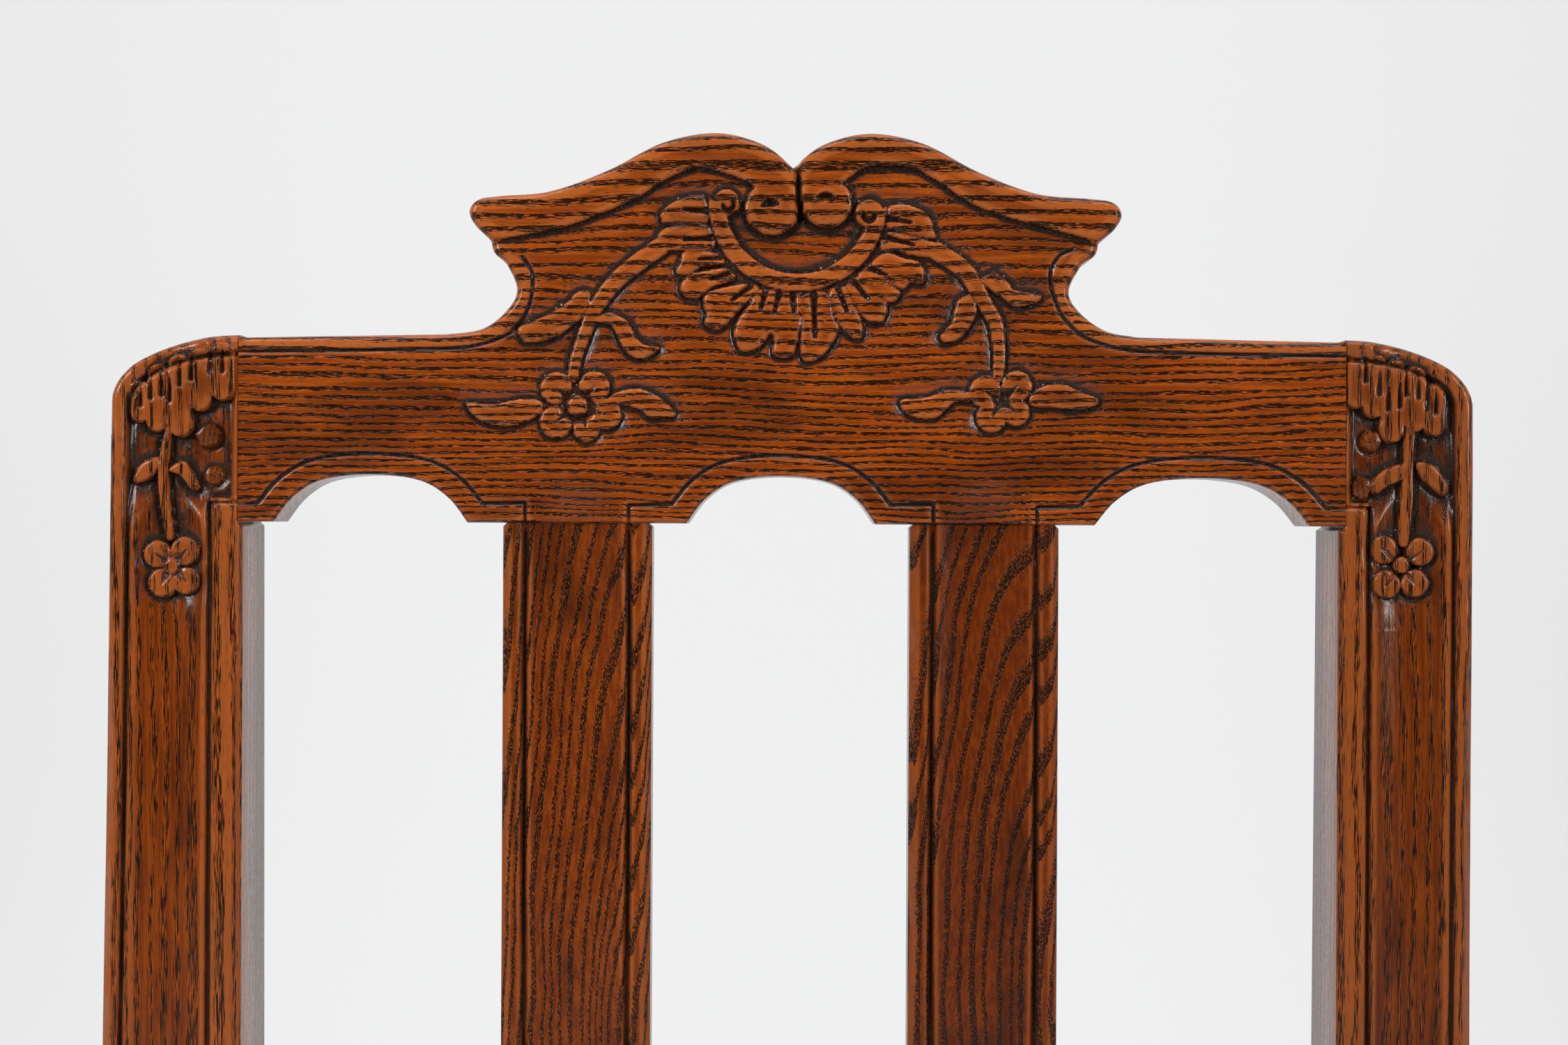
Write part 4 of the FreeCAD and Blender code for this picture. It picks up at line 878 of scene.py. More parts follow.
def crest_stain_and_shade(u, s, h):
    """Old wax, with painted shade, in the sunk ground and in the cut lines."""
    v = s - crest_base
    lines = sum(step(0.9, 0.2, near_line(u, v, line)) for line in cut_lines())
    return 0.32 * step(0.5, 2.4, -h) * step(26, 30, v) + 0.8 * lines


def crest_top_highlight(u, s):
    """Upper border, rubbed light by hands and painted lighter as a highlight where it faces the light above.
    """
    return 0.5 * step(5.2, 4.0, distance(u, s - crest_base, top_edge))


crest_cell = 0.6
board("crest_carved", "crest_rail", crest_wood, np.arange(-joint_u, joint_u + 0.01, crest_cell),
      crest_base + np.arange(-crest_cell, 130.5, crest_cell), crest_outline, crest_height,
      even(crest_thickness), stain_and_shade=crest_stain_and_shade, rub_and_highlight=crest_top_highlight)


# Rear legs with their carved tops

peg_spots = {                  # from the joint outwards, up from the crest bottom, radius, how far proud
    -1: ((8.2, 15.2, 3.6, -0.5), (10.0, 28.2, 4.2, 1.5)),
    1: ((5.8, 12.6, 3.9, -0.3), (8.7, 28.2, 3.7, 0.5)),
}
swell_line = (-600, -374, -172, -86, -8, 30, 49)  # heights at which the outer edge swells out
swells = {-1: (0, 1.4, 2.6, 1.5, 1.0, 0.7, 0.4), 1: (0, 0.4, 0.5, 0.5, 0.8, 0.8, 0.5)}
bead_steps = {-1: 1.2, 1: 1.9}  # inner edge stands this far in below the crest
ledge_end = -300               # where that step runs out
outer_beads = {-1: 6.2, 1: 6.5}
inner_beads = {-1: 9.6, 1: 8.2}
bead_groove = (2.2, 1.8)       # depth and half width
bead_top = 6.3                 # the inner bead ends here, above the crest bottom
stile_hollow = 2.7
lobe_cut = 1.6
stile_heart_cut = 1.3
stile_petal_cut = 0.8
carving_end = -34
moulding_end = -430            # below it the front of the leg is plain
leg_ornament = {
    -1: dict(
        lobes=(((-188.6, 55, 3.3), (-188.6, 44.5, 3.5)), ((-196.2, 53, 3.1), (-196.1, 40.5, 3.1)),
               ((-202.9, 51, 3.0), (-202.3, 32, 3.1)), ((-209.8, 48, 2.8), (-209.9, 33.5, 2.9)),
               ((-216, 43, 2.6), (-215.8, 36.5, 2.8))),
        gouges=((-215.6, 40.5), (-212.3, 43), (-208.8, 44), (-205.9, 42.5), (-202.6, 47.5), (-198.9, 49.5),
                (-192.6, 51.6), (-188.6, 52)),
        stem=((-206.3, 31, 0.9), (-208, 18, 1.5), (-207.5, 7, 1.5), (-205.7, -5, 1.2)),
        leaves=(((-217.8, 13), (-215.5, 18.5), (-210, 21), (-210, 17.5), (-213, 14)),
                ((-206, 17), (-201, 19.5), (-196.5, 12), (-198.5, 10.5), (-202, 15))),
        petals=(((-209.7, -11), 3.9), ((-200.7, -10), 4.1), ((-200.3, -19.6), 3.9), ((-208, -20.3), 4.1)),
        button=((-205, -14.8), 2.7),
    ),
    1: dict(
        lobes=(((186.9, 53, 2.7), (186.7, 43, 2.9)), ((193.2, 53, 2.9), (192.6, 40, 3.1)),
               ((199.6, 51, 3.0), (198.4, 32, 3.2)), ((206.2, 49, 2.9), (205.9, 35.5, 3.1)),
               ((213, 44, 2.7), (212.4, 34, 2.9))),
        gouges=((189.8, 50.5), (194.3, 46), (197.4, 41), (200.9, 42), (203.2, 46), (207.2, 45), (210, 41),
                (213, 40)),
        stem=((204.5, 32, 1.7), (204, 19, 1.5), (203.5, 8, 1.9), (202.5, -5, 1.6)),
        leaves=(((203.5, 20.5), (197, 19), (192, 14.5), (193, 11), (197, 13.5), (203, 16.5)),
                ((207, 21), (212.5, 20), (217, 14), (216, 10.5), (212.5, 12.5), (208.5, 16.5))),
        petals=(((196, -7.7), 4.0), ((208, -8.3), 3.9), ((206.3, -18.6), 3.9), ((197, -19), 4.0)),
        button=((202, -12.7), 2.6),
    ),
}


def stile_loop(side):
    """Outline of a leg on its front: straight sides and a rounded outer top corner."""
    outer = joint_u + stile_width
    oval = [np.array((joint_u + stile_width * math.cos(a), stile_top - stile_corner * (1 - math.sin(a))))
            for a in np.linspace(0, math.pi / 2, 28)]
    straight = [np.array((outer, v)) for v in np.linspace(foot_s - crest_base, oval[0][1], 40)[:-1]]
    side_line = [p + (np.interp(p[1], swell_line, swells[side]) * (p[0] - joint_u) / stile_width, 0)
                 for p in straight + oval]
    ledge_u = joint_u - bead_steps[side]
    inner = ((joint_u, stile_top), (joint_u, -0.2), (ledge_u, -1.4), (ledge_u, ledge_end),
             (joint_u, ledge_end - 12), (joint_u, foot_s - crest_base))
    return [p * (side, 1) for p in side_line], [np.array((side * u, v)) for u, v in inner]


def leg_depth(u, s):
    """Depth of the leg, thickest at the seat."""
    foot, seat, top = leg_depths
    above = seat + (top - seat) * np.clip((s + bend_turn) / (crest_base + stile_top + bend_turn), 0, 1)
    below = seat + (foot - seat) * np.clip((s + bend_turn + upright) / (foot_s + bend_turn + upright), 0, 1)
    return np.where(s > -bend_turn, above, below)


def leg_height(side, outer, inner):
    """Face of a stile: a hollow between two beads, and at the top a fan of lobes over a hanging flower."""
    ornament = leg_ornament[side]
    bead_out, bead_in = outer_beads[side], inner_beads[side]

    def height(u, s):
        v = s - crest_base
        w = side * u - joint_u
        rim = distance(u, v, outer)
        edge = distance(u, v, inner)
        moulded = step(moulding_end, moulding_end + 15, v)
        middle = (bead_in + stile_width - bead_out) / 2
        half = (stile_width - bead_out - bead_in) / 2 - 0.6
        hollow = stile_hollow * np.clip(1 - ((w - middle) / half) ** 2, 0, 1)
        work = Carving(u, v)
        for nodes in ornament["lobes"]:
            wider = [(a, b, half_width + 0.75) for a, b, half_width in nodes]
            work.stem(wider, crown=0.7, shoulder=1.6, top=-0.1)
        work.stem(ornament["stem"], crown=0.6, shoulder=1.3, top=-0.5)
        for loop in ornament["leaves"]:
            work.leaf(loop, crown=0.8, shoulder=1.8, top=-0.5)
        for centre, radius in ornament["petals"]:
            work.disc(centre, radius + 0.5, crown=0.7, shoulder=1.7, top=-0.3)
        centre, radius = ornament["button"]
        work.raised -= stile_heart_cut * np.exp(-(away(u, v, centre) / 3.6) ** 2)
        work.disc(centre, radius, crown=0.9, shoulder=1.8, top=-0.4)
        for a, b in ornament["gouges"]:
            work.raised -= gouge(u, v, [(a, b + 6, 0.3), (a, b + 1, 0.9), (a, b - 2.4, 0.9)], lobe_cut)
        work.raised -= petal_cuts(u, v, ornament, 0.5, 1.1, (1.0, 0.5), stile_petal_cut)
        start = np.where(w < bead_in, step(6.6, 8.6, v), step(-6, 14, v))
        sunk = start * step(bead_out - 0.3, bead_out + 1.5, rim) * step(0.6, 3.0, w)
        field = -np.maximum(hollow * moulded, stile_hollow * sunk)
        h = work.surface(field, 1.2, 3.2)
        h = np.where(v < carving_end, field, h)
        h -= incised(np.abs(rim - bead_out), *bead_groove) * moulded
        h -= incised(np.abs(w - bead_in), *bead_groove) * moulded * step(6.8, 6.0, v)
        h -= incised(np.where(w < bead_in, np.abs(v - bead_top), FAR), 1.5, 1.2)
        joined = step(-4.0, 2.0, v)
        h -= rolled(rim, 2.8) + rolled(edge, 2.4) * (1 - joined) + rolled(edge, 0.5) * joined
        for peg_w, peg_v, radius, _ in peg_spots[side]:
            h -= 0.5 * step(radius + 1.6, radius + 0.2, away(w, v, (peg_w, peg_v)))
        return h + 0.12 * waver(u, v, 13.0, 2.0 + side)

    return height


def carved_stain_and_shade(u, s, h):
    """Old wax and dirt, with painted shade, in the sunk ground of the carving."""
    return 0.42 * step(1.2, 2.8, -h) * step(crest_base - 30, crest_base + 4, s)


def rear_leg(side, name, node, material):
    """Stile and rear leg in one piece, finely cut at its carved top."""
    outer, inner = stile_loop(side)
    loop = outer + inner

    def rub_and_highlight(u, s):
        """Beads at both edges, rubbed lighter than the hollow and painted lighter as a highlight."""
        v = s - crest_base
        w = side * u - joint_u
        inner_bead = step(inner_beads[side] - 0.8, inner_beads[side] - 2.0, w) * step(7, 5, v)
        outer_bead = step(outer_beads[side] - 0.5, outer_beads[side] - 1.5, distance(u, v, outer))
        return 0.7 * np.maximum(inner_bead, outer_bead)

    ends = (joint_u - bead_steps[side], joint_u + stile_width + max(swells[side]))
    us = np.linspace(*sorted(side * u for u in ends), 84)
    carved_s = crest_base - 42
    lower = np.arange(foot_s, carved_s, 5.0)
    upper = np.arange(carved_s, crest_base + stile_top + 0.4, 0.55)
    board(name, node, material, us, np.concatenate([lower, upper]),
          lambda u, s: signed(u, s - crest_base, loop), leg_height(side, outer, inner), leg_depth,
          back_round=2.5, stain_and_shade=carved_stain_and_shade, rub_and_highlight=rub_and_highlight)


rear_leg(-1, "stile_left", "rear_leg_left", stile_woods[0])
rear_leg(1, "stile_right", "rear_leg_right", stile_woods[1])


# Slats and lower back rail

slat_hollow = 2.6
slat_groove = (2.4, 1.9)       # depth and half width


def slat(middle, name, node, material, seed):
    """Upright slat with a hollow between two beads."""
    half = slat_width / 2
    foot = lower_rail_zs[1]

    def outline(u, s):
        return np.maximum(np.abs(u - middle) - half, np.maximum(foot - s, s - crest_base))

    def height(u, s):
        w = np.abs(u - middle)
        edge = half - w
        inner = slat_quirk - 1.0
        h = -slat_hollow * np.clip(1 - (w / inner) ** 2, 0, 1)
        wander = 0.12 * np.sin(s / 31 + seed) + 0.08 * np.sin(s / 12 + 2 * seed)
        h -= incised(np.abs(w - slat_quirk + wander), *slat_groove)
        h -= rolled(edge, 3.0) + 0.4 * ((edge - slat_bead / 2) / slat_bead) ** 2 * (edge < slat_bead)
        return h - slat_setback + 0.15 * waver(u, s, 17.0, seed)

    board(name, node, material, np.linspace(middle - half, middle + half, 100),
          np.arange(foot, crest_base + 0.1, 3.0), outline, height, even(slat_setback + slat_thickness),
          proud_highlight=0.15)


slat(slat_middles[0], "slat_moulded_left", "slat_left", slat_woods[0], 1.0)
slat(slat_middles[1], "slat_moulded_right", "slat_right", slat_woods[1], 2.0)


def arched_rail(name, node, material, end, low, high, gaps, rise, cut_lift, thickness, place, columns):
    """Rail from -end to end with rounded edges, arches below and a cut line above them."""
    upper = [np.array((-end, high)), np.array((end, high))]
    lower = arched_line(gaps, rise, low, end)
    cut = arched_line(gaps, rise, low + cut_lift, end, grow=4.0)

    def outline(u, s):
        return signed(u, s, upper + lower[::-1])

    def height(u, s):
        h = -rolled(distance(u, s, upper), 2.0) - rolled(distance(u, s, lower), 1.6)
        h -= incised(near_line(u, s, cut), 1.3, 1.2)
        return h + 0.1 * waver(u, s, 15.0, 1.5)

    return board(name, node, material, np.linspace(-end, end, columns), np.arange(low - 0.5, high + 0.6, 1.0),
                 outline, height, even(thickness), place)


arched_rail("lower_rail_shaped", "lower_back_rail", rail_wood, joint_u, *lower_rail_zs, gap_edges,
            lower_arch_rise, 6.5, lower_rail_thickness, on_back, 330)


# Pegs of the crest, split and pared by hand

def crest_pegs():
    """Pegs with uneven sides and eased, slanting heads."""
    sides = np.arange(9)
    peg_end = 20.0
    pegs = []
    spots = [(side, *spot) for side in (-1, 1) for spot in peg_spots[side]]
    for n, (side, w, v, radius, proud) in enumerate(spots):
        turns = 2 * np.pi * (sides + 0.35 * np.sin(5.0 * sides + n)) / len(sides)
        shape = radius * (1 + 0.09 * np.sin(3.1 * sides + 2 * n))
        peg = []
        for share, d in ((1.0, peg_end), (1.0, 2.4 - proud), (0.8, 1.2 - proud), (0.4, 0.6 - proud)):
            u = side * (joint_u + w) + share * shape * np.cos(turns)
            s = crest_base + v + share * shape * np.sin(turns)
            peg.append(on_back(u, s, d + 0.12 * share * shape * np.cos(turns + n)))
        pegs.append(peg)
    make_piece("crest_peg_heads", *tubes(pegs), peg_wood, "chair_frame", "peg_wood", ("crest_pegs",), 25)


crest_pegs()


# Seat frame

spare = 9.0                    # a cutter runs this far past the wood


def on_front(u, s, d):
    """Points of the front rail in metres."""
    return np.stack([u, front_face + d, s], -1) * MM


def settle(piece):
    """Applies the modifiers of a piece."""
    ready = piece.evaluated_get(bpy.context.evaluated_depsgraph_get())
    mesh = bpy.data.meshes.new_from_object(ready)
    piece.modifiers.clear()
    piece.data = mesh


def cut_away(piece, low, high):
    """Takes a rebate between two corners out of a piece."""
    corners = [(x, y, z) for x in (low[0], high[0]) for y in (low[1], high[1]) for z in (low[2], high[2])]
    sides = [(0, 1, 3, 2), (4, 6, 7, 5), (0, 4, 5, 1), (2, 3, 7, 6), (0, 2, 6, 4), (1, 5, 7, 3)]
    cutter = in_scene("rebate", plain_mesh("rebate", [Vector(p) * MM for p in corners], sides))
    change = piece.modifiers.new("rebate", "BOOLEAN")
    change.object = cutter
    change.operation = "DIFFERENCE"
    change.solver = "EXACT"
    settle(piece)
    bpy.data.objects.remove(cutter)


def front_rail():
    """Front seat rail with three arches and the rebate for the seat."""
    bay = 2 * post_inner / 3
    starts = [-post_inner + n * bay for n in range(3)]
    gaps = [(start + apron_margin, start + bay - apron_margin) for start in starts]
    rail = arched_rail("front_rail_shaped", "front_seat_rail", seat_wood, post_inner, seat_top - rail_height,
                       seat_top, gaps, apron_rise, 7.0, rail_thickness, on_front, 360)
    cut_away(rail, (-post_inner - spare, front_face + lip, ledge),
             (post_inner + spare, front_face + rail_thickness + spare, seat_top + spare))


# Outward swing and size in post widths, and height as a share of the curved part
front_leg_line = ((0, 1, 1), (0.1, 1.1, 0.915), (0.09, 0.98, 0.79), (-0.015, 0.76, 0.565), (-0.1, 0.66, 0.34),
                  (-0.07, 0.64, 0.17), (0.03, 0.72, 0.085), (0.1, 0.84, 0.035), (0.1, 0.8, 0))


def front_leg(side, name, node):
    """Square post that runs down into a curved leg with a small pad foot."""
    count = 64
    square_post, round_leg = 20, 3.4
    around = 2 * np.pi * (np.arange(count) + 0.5) / count
    middle = np.array((side * (post_inner + post / 2), post_front + post / 2))
    top = ((0.96, seat_top), (0.99, seat_top - 0.8), (1.0, seat_top - 2.4), (1.0, bend_low + 3))
    sections = [(0, size, z, square_post) for size, z in top]
    for swing, size, f in smooth(front_leg_line, steps=12)[1:-1]:
        sections.append((swing, size, f * bend_low, round_leg + 14 * float(step(0.93, 1.0, f))))
    sections += [(0.1, 0.78, 1.2, round_leg), (0.1, 0.74, 0, round_leg)]
    rings = []
    for swing, size, z, power in sections:
        square = (np.abs(np.cos(around)) ** power + np.abs(np.sin(around)) ** power) ** (-1 / power)
        x = middle[0] + side * swing * post + 0.5 * size * post * square * np.cos(around)
        y = middle[1] - swing * post + 0.5 * size * post * square * np.sin(around)
        rings.append(np.stack([x, y, np.full(x.shape, z)], -1) * MM)
    piece = make_piece(name, *tubes([rings], True), leg_wood, "chair_frame", "waxed_wood", (node,))
    low, high = sorted((side * (post_inner - spare), side * (half_front - rail_setback - lip)))
    cut_away(piece, (low, front_face + lip, ledge), (high, post_front + post + spare, seat_top + spare))


front_rail()
front_leg(-1, "front_leg_shaped_left", "front_leg_left")
front_leg(1, "front_leg_shaped_right", "front_leg_right")


def dress(node, material, bevel):
    """Gives a part of the frame its wood and eases its edges."""
    piece = frame["nodes"][node]
    piece.data.materials.clear()
    piece.data.materials.append(material)
    weld = piece.modifiers.new("weld", "WELD")
    weld.merge_threshold = 1e-5
    flat = piece.modifiers.new("flat", "DECIMATE")
    flat.decimate_type = "DISSOLVE"
    flat.angle_limit = math.radians(2)
    ease = piece.modifiers.new("ease", "BEVEL")
    ease.width = bevel * MM
    ease.segments = 2
    ease.angle_limit = math.radians(35)
    ease.use_clamp_overlap = True


def plain_wood(name, fibre, radial, pith, seed):
    """Unwaxed wood of the hidden parts."""
    return wood(name, fibre, radial, pith, 3.8, seed, sparse=0.52, tones=raw_tones)


block_wood = plain_wood("wood_blocks", (1, 1, 0), (0, 0, 1), Vector((0, 0, 0.3)), 12.0)
slip_across = plain_wood("wood_slip_across", (1, 0, 0), (0, 0.3, 1), Vector((0, 0, 0.36)), 13.0)
slip_along = plain_wood("wood_slip_along", (0, 1, 0), (0.3, 0, 1), Vector((0, 0, 0.36)), 14.0)

dressed = (                    # wood, rounding of the edges and nodes
    (seat_wood, 1.2, ("rear_seat_rail", "cross_stretcher")),
    (side_wood, 1.2, ("side_seat_rail_left", "side_seat_rail_right", "side_stretcher_left",
                      "side_stretcher_right")),
    (block_wood, 0.8, ("corner_block_front_left", "corner_block_front_right", "corner_block_rear_left",
                       "corner_block_rear_right")),
    (peg_wood, 0.15, ("lower_rail_pegs", "front_leg_pegs", "rear_leg_pegs", "stretcher_pegs",
                      "slip_seat_pegs")),
    (slip_across, 0.6, ("slip_seat_front", "slip_seat_back")),
    (slip_along, 0.6, ("slip_seat_side_left", "slip_seat_side_right")),
)
for material, rounding, nodes in dressed:
    for node in nodes:
        dress(node, material, rounding)


# Lift-out seat

def seat_ring(inset, corner, per_corner=8, per_side=26):
    """Rounded outline of the seat in plan, moved in from the edge of its wooden frame, counterclockwise."""
    edge = lip + seat_gap + cover + inset
    rear = -(seat_gap + cover) - inset
    front = rail_setback - seat_depth + edge

    def side_x(y):
        return half_back - rail_setback - splay * y - edge * math.hypot(1, splay)

    corners = [Vector((side_x(front), front)), Vector((side_x(rear), rear))]
    corners += [Vector((-p.x, p.y)) for p in reversed(corners)]
    points = []
    for n, here in enumerate(corners):
        back = (corners[n - 1] - here).normalized()
        ahead = (corners[(n + 1) % 4] - here).normalized()
        half = math.acos(max(-1, min(1, back.dot(ahead)))) / 2
        centre = here + (back + ahead).normalized() * corner / math.sin(half)
        spoke = here + back * corner / math.tan(half) - centre
        sweep = math.pi - 2 * half
        for k in range(per_corner + 1):
            points.append(centre + Matrix.Rotation(sweep * k / per_corner, 2) @ spoke)
        end = corners[(n + 1) % 4] - ahead * corner / math.tan(half)
        points += [points[-1].lerp(end, k / per_side) for k in range(1, per_side)]
    return np.array([(p.x, p.y + stile_front) for p in points])


def seat_shell(name, section, material, slot, nodes, caps=False):
    """Skin through (inset, corner, z) rings of the seat's outline; without caps the last joins the first."""
    rings = [[np.array((x, y, z)) * MM for x, y in seat_ring(inset, corner)] for inset, corner, z in section]
    verts, faces = tubes([rings])
    if not caps:
        faces = tube_faces(0, len(rings[0]), len(rings), closed=True)
    return make_piece(name, verts, faces, material, "slip_seat", slot, nodes, 50)


def leather():
    """Old brown leather: fine creased grain in lighter and darker patches."""
    g = Graph("leather_brown")
    place = g.place()
    cells = g.add("TexVoronoi", feature="DISTANCE_TO_EDGE")
    g.put(cells.inputs["Vector"], place)
    cells.inputs["Scale"].default_value = 520.0
    crease = g.ramp(cells.outputs["Distance"], 0.0, 0.16)
    broad = g.noise(place, 9.0, 4.0, 0.6)
    fine = g.noise(place, 160.0, 3.0, 0.6)
    colour = g.mix(g.ramp(broad, 0.3, 0.7), (0.040, 0.014, 0.007, 1), (0.105, 0.036, 0.015, 1))
    colour = g.mix(g.ramp(fine, 0.45, 0.75, 0.0, 0.45), colour, (0.15, 0.06, 0.026, 1))
    colour = g.mix(g.ramp(crease, 0.0, 1.0, 0.55, 0.0), colour, (0.014, 0.006, 0.004, 1))
    rough = g.ramp(broad, 0.3, 0.75, 0.34, 0.5)
    bump = g.plus(crease, g.times(fine, 0.5))
    return g.finish(bump, distance=0.0003, strength=0.5, Base_Color=colour, Roughness=rough)


def woven(name, pitch, warp, weft):
    """Coarse plain weave from two crossing sets of threads."""
    g = Graph(name)
    place = g.place()
    parts = g.add("SeparateXYZ", place).outputs
    lines = [g.math("SINE", g.times(parts[k], math.pi / (pitch * MM))) for k in (0, 1)]
    over = g.times(*lines)
    uneven = g.noise(place, 260.0, 3.0, 0.6)
    colour = g.mix(g.ramp(over, -0.6, 0.6), warp, weft)
    colour = g.mix(g.ramp(uneven, 0.4, 0.75, 0.0, 0.6), colour, (0.09, 0.06, 0.035, 1))
    bump = g.plus(g.math("ABSOLUTE", over), g.times(uneven, 0.6))
    return g.finish(bump, distance=0.0006, strength=0.8, Base_Color=colour,
                    Roughness=g.ramp(uneven, 0.2, 0.8, 0.8, 0.95))


def sag(x, y):
    """Slight droop of the webbing inside the frame, millimetres."""
    droop, half_wide, half_deep = 4.0, 165, 132
    across, along = x / half_wide, (y - stile_front + 0.5 * seat_depth) / half_deep
    return -droop * np.clip(1 - across ** 2, 0, 1) * np.clip(1 - along ** 2, 0, 1)


def straps(node, name, axis):
    """Three straps side by side, drooping a little where they cross the open frame."""
    low, high = (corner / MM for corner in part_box(node))
    other = 1 - axis
    room = high[other] - low[other] - strap_width
    along = np.linspace(low[axis], high[axis], 80)
    across = np.linspace(-strap_width / 2, strap_width / 2, 12)
    under = np.stack([across, np.full(across.shape, low.z)], -1)
    over = np.stack([across, high.z - 0.15 * (2 * across / strap_width) ** 4], -1)
    loop = np.concatenate([under, over[::-1]])

    def ring(middle, a):
        here = np.full(len(loop), a)
        x, y = (here, middle + loop[:, 0]) if axis == 0 else (middle + loop[:, 0], here)
        return np.stack([x, y, loop[:, 1] + sag(x, y)], -1) * MM

    middles = [low[other] + strap_width / 2 + share * room for share in (0, 0.5, 1)]
    forms = [[ring(middle, a) for a in along] for middle in middles]
    strip = make_piece(name, *tubes(forms, axis == 1), webbing, "slip_seat", "webbing", (node,), 60)


def base_cloth():
    """Hessian laid over the webbing."""
    low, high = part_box("hessian")
    insets = (4, 12, 24, 40, 60, 82, 106, 132, 158, 176)
    levels = [(inset, low.z) for inset in reversed(insets)] + [(inset, high.z) for inset in insets]
    section = [(inset, seat_corner + 0.02 * inset, z / MM) for inset, z in levels]
    cloth = seat_shell("hessian_cloth", section, hessian, "hessian", ("hessian",), caps=True)
    for vert in cloth.data.vertices:
        vert.co.z += float(sag(vert.co.x / MM, vert.co.y / MM)) * MM


def tacks(name, spots, radius, z, material):
    """Small domed tack heads, all facing down."""
    profile = ((1.0, 0.0), (0.95, 0.35), (0.6, 0.75), (0.2, 0.9))
    count = 10
    turns = 2 * np.pi * np.arange(count) / count

    def ring(x, y, size, level):
        return [Vector((x + size * math.cos(a), y + size * math.sin(a), level)) * MM for a in turns]

    heads = [[ring(x, y, share * radius, z - drop) for share, drop in profile] for x, y in spots]
    make_piece(name, *tubes(heads, True), material, "slip_seat", None, (), 50)


def iron():
    """Dark tack iron with rusty spots."""
    g = Graph("iron_tacks")
    place = g.place()
    spots = g.noise(place, 700.0, 3.0)
    colour = g.mix(g.ramp(spots, 0.4, 0.7), (0.035, 0.03, 0.028, 1), (0.12, 0.06, 0.035, 1))
    return g.finish(spots, distance=0.0001, Base_Color=colour, Roughness=g.ramp(spots, 0.3, 0.7, 0.35, 0.6),
                    Metallic=0.8)


held_height = 4.0              # of the pad's foot, which the cloth simulation leaves in place
swell_room = 4.0               # the pad starts this far below its crown, for the simulation to fill


def swell(pad):
    """Blows the pad up a little as cloth, held at its foot, so that it sits tight over its stuffing."""
    cell, most = 0.005, 0.006  # size of the mesh and the furthest that a point moves, metres
    pressure, stiffness, frames = 4.0, 25, 20
    rest = pad.modifiers.new("remesh", "REMESH")
    rest.mode = "VOXEL"
    rest.voxel_size = cell
    settle(pad)
    held = pad.vertex_groups.new(name="held")
    held.add([v.index for v in pad.data.vertices if v.co.z < (pad_foot + held_height) * MM], 1.0, "REPLACE")
    base = np.array([v.co[:] for v in pad.data.vertices])
    cloth = pad.modifiers.new("cloth", "CLOTH")
    cloth.settings.use_pressure = True
    cloth.settings.uniform_pressure_force = pressure
    cloth.settings.effector_weights.gravity = 0.0
    cloth.settings.vertex_group_mass = "held"
    cloth.settings.tension_stiffness = stiffness
    cloth.settings.compression_stiffness = stiffness
    scene = bpy.context.scene
    for n in range(1, frames + 1):
        scene.frame_set(n)
    ready = pad.evaluated_get(bpy.context.evaluated_depsgraph_get())
    moved = np.array([v.co[:] for v in ready.data.vertices]) - base
    size = np.linalg.norm(moved, axis=1, keepdims=True)
    base += moved * np.minimum(1, most / np.maximum(size, 1e-9))
    pad.modifiers.clear()
    scene.frame_set(1)
    pad.data.vertices.foreach_set("co", base.ravel())
    pad.data.update()


def cushion():
    """Domed pad of the seat, covered in leather, standing a little proud of the rails."""
    foot = pad_foot + 0.2
    section = [(12, seat_corner, foot), (1.5, seat_corner, foot), (0.2, seat_corner + 0.5, foot + 1.5)]
    for turn in np.linspace(0, math.pi / 2, 14):
        inset = crown_reach * (1 - math.cos(turn))
        share = crown_side + (1 - crown_side) * math.sin(turn)
        section.append((inset - 0.6, seat_corner + 1 + 0.8 * inset, foot + (seat_crown - swell_room) * share))
    for inset in (95, 120, 145, 170):
        section.append((inset, 70, section[-1][2] + 0.3))
    pad = seat_shell("seat_pad", section, hide, "leather", ("stuffing",), caps=True)
    swell(pad)
    finer = pad.modifiers.new("finer", "SUBSURF")
    finer.levels = finer.render_levels = 1
    settle(pad)
    pad.data.shade_smooth()


def skirt():
    """Leather drawn down over the sides of the seat's frame and turned in under it."""
    outside = seat_corner + cover
    section = [(cover_turn, seat_corner, ledge + 0.1), (1.0, seat_corner, ledge + 0.1),
               (-0.9, seat_corner + 1, ledge + 0.5), (-cover, outside, ledge + 2),
               (-cover, outside, pad_foot + 1.2), (-0.6, seat_corner + 0.6, pad_foot + 2.2),
               (-0.15, seat_corner, pad_foot + 1.0), (-0.15, seat_corner, ledge + 1.5),
               (cover_turn, seat_corner, ledge + 1.45)]
    band = seat_shell("seat_skirt", section, hide, "leather", ("seat_cover",))
    edge = seat_ring(0, seat_corner)
    tacks("cover_tack_heads", seat_ring(0.6 * cover_turn, seat_corner)[::5], 3.2, ledge + 0.1, tack_iron)


hide = leather()
tack_iron = iron()
webbing = woven("webbing_jute", 1.4, (0.30, 0.22, 0.13, 1), (0.42, 0.33, 0.20, 1))
hessian = woven("hessian_jute", 0.9, (0.27, 0.19, 0.10, 1), (0.38, 0.28, 0.16, 1))
straps("webbing_lengthwise", "webbing_straps_lengthwise", 1)
straps("webbing_crosswise", "webbing_straps_crosswise", 0)
base_cloth()
cushion()
skirt()


# Light, floor and camera

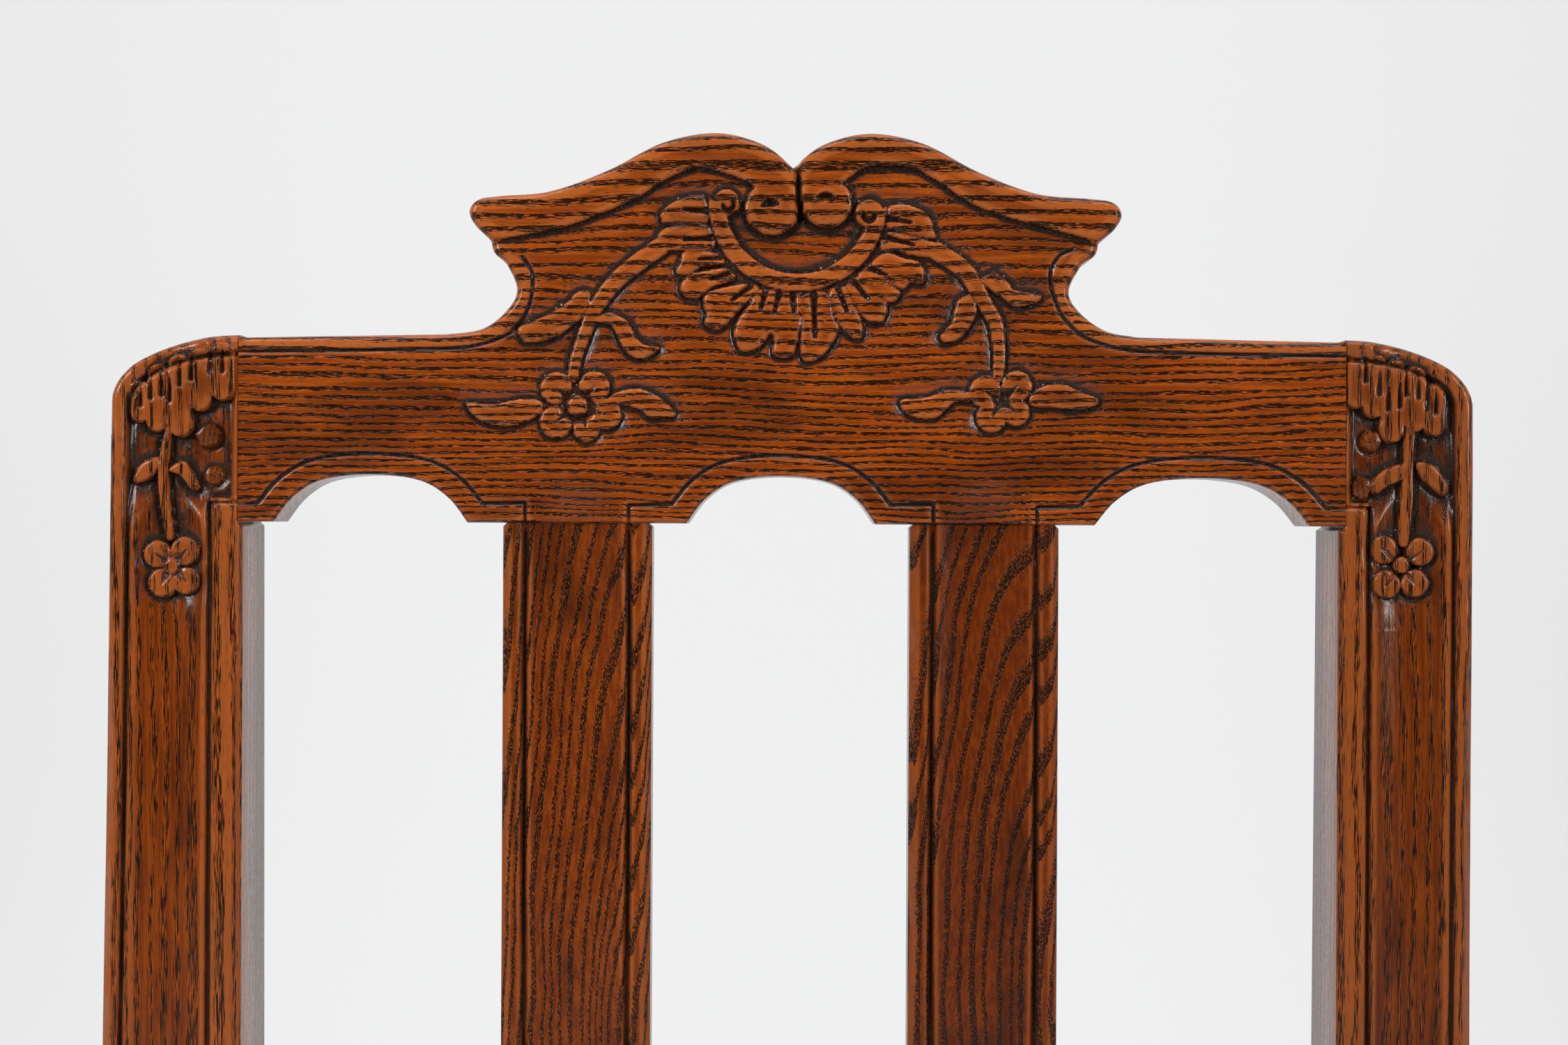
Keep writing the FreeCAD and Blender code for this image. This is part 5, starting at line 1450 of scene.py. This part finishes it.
def stage_material():
    """Pale ground that glows for the camera, with painted shade that dims it towards its sides and top, clear
    from behind.
    """
    g = Graph("stage_pale")
    path = g.add("LightPath").outputs
    seen = g.math("MAXIMUM", path["Is Camera Ray"], path["Is Glossy Ray"])
    seen = g.math("MAXIMUM", seen, path["Is Transmission Ray"])
    place = g.place()
    ways = g.add("SeparateXYZ", place).outputs
    # Painted shade: the glowing ground darkens away from the middle and higher up
    sideways = g.ramp(g.math("ABSOLUTE", ways[0]), 0.3, 1.2, 0.0, 0.9)
    dim = g.times(sideways, g.ramp(ways[2], 0.3, 1.1, 1.0, 0.4))
    painted_dimming = g.plus(g.times(g.noise(place, 0.6, 2.0), 0.1), dim)
    shade = g.mix(painted_dimming, (0.90, 0.905, 0.91, 1), (0.805, 0.805, 0.81, 1))
    glow = g.add("Emission", shade, 1.0)
    g.finish(Base_Color=shade, Roughness=0.9)
    g.shader.inputs["Specular IOR Level"].default_value = 0.1
    both = g.add("MixShader", 0.8, g.shader, glow)
    pick = g.add("MixShader", seen, g.shader, both)
    behind = g.add("NewGeometry").outputs["Backfacing"]
    open_back = g.add("MixShader", behind, pick, g.add("BsdfTransparent"))
    g.tree.links.new(open_back.outputs[0], g.tree.nodes["Material Output"].inputs["Surface"])
    return g.material


def stage():
    """Floor that sweeps up into a backdrop behind the chair."""
    wide, front, back, bend, tall = 8.0, -12.0, 2.2, 1.2, 4.0
    line = [(front, 0.0), (back - bend, 0.0)]
    turns = np.linspace(0, math.pi / 2, 16)[1:]
    line += [(back - bend + bend * math.sin(a), bend * (1 - math.cos(a))) for a in turns]
    line.append((back, tall))
    verts = [(x, y, z) for y, z in line for x in (-wide, wide)]
    faces = [(2 * n, 2 * n + 1, 2 * n + 3, 2 * n + 2) for n in range(len(line) - 1)]
    floor = in_scene("stage_floor", plain_mesh("stage_floor", verts, faces))
    floor.data.shade_smooth()
    floor.data.materials.append(stage_material())


def lamp(name, place, target, size, power):
    """Rectangular lamp aimed at a target."""
    data = bpy.data.lights.new(name, "AREA")
    data.shape = "RECTANGLE"
    data.size, data.size_y = size
    data.energy = power
    made = in_scene(name, data)
    made.location = place
    made.rotation_euler = (Vector(target) - Vector(place)).to_track_quat("-Z", "Y").to_euler()


def world():
    """Room that is dark towards the camera and bright behind the chair; the camera sees one pale grey."""
    g = Graph("studio", "worlds")
    bpy.context.scene.world = g.material
    way = g.add("SeparateXYZ", g.add("TexCoord").outputs["Generated"]).outputs[1]
    room = g.add("ValToRGB", g.plus(g.times(way, 0.5), 0.5))
    ends = ((0.25, (0.05, 0.05, 0.055, 1)), (0.75, (0.85, 0.86, 0.88, 1)))
    for stop, (place, colour) in zip(room.color_ramp.elements, ends):
        stop.position = place
        stop.color = colour
    seen = g.add("LightPath").outputs["Is Camera Ray"]
    g.put(g.tree.nodes["Background"].inputs["Color"], g.mix(seen, room, (0.84, 0.845, 0.85, 1)))


def camera():
    """View square to the raked back, level with the bottom of the crest."""
    away, lens, sensor, roll = 0.777, 54.0, 36.0, math.radians(0.27)
    data = bpy.data.cameras.new("camera")
    data.lens = lens
    data.sensor_width = sensor
    data.clip_start = 0.05
    made = in_scene("camera", data)
    spot = back_point(-2.5, 0.5, 0.0)
    back = -INTO
    right = ACROSS * math.cos(roll) + UP_SLOPE * math.sin(roll)
    up = back.cross(right)
    turn = Matrix((right, up, back)).transposed().to_4x4()
    made.matrix_world = Matrix.Translation(spot + back * away) @ turn
    bpy.context.scene.camera = made


stage()
world()
# Place, aim, size in metres and power in watts
lamp("key_left", (-1.4, -1.1, 1.8), (0, 0.2, 0.8), (0.4, 0.9), 34)
lamp("fill_right", (1.25, -1.05, 1.5), (0, 0.2, 0.8), (0.18, 1.0), 19)
lamp("top", (0, -0.1, 2.5), (0, 0.15, 0.8), (1.6, 1.0), 22)
camera()
bpy.context.scene.view_settings.view_transform = "Standard"
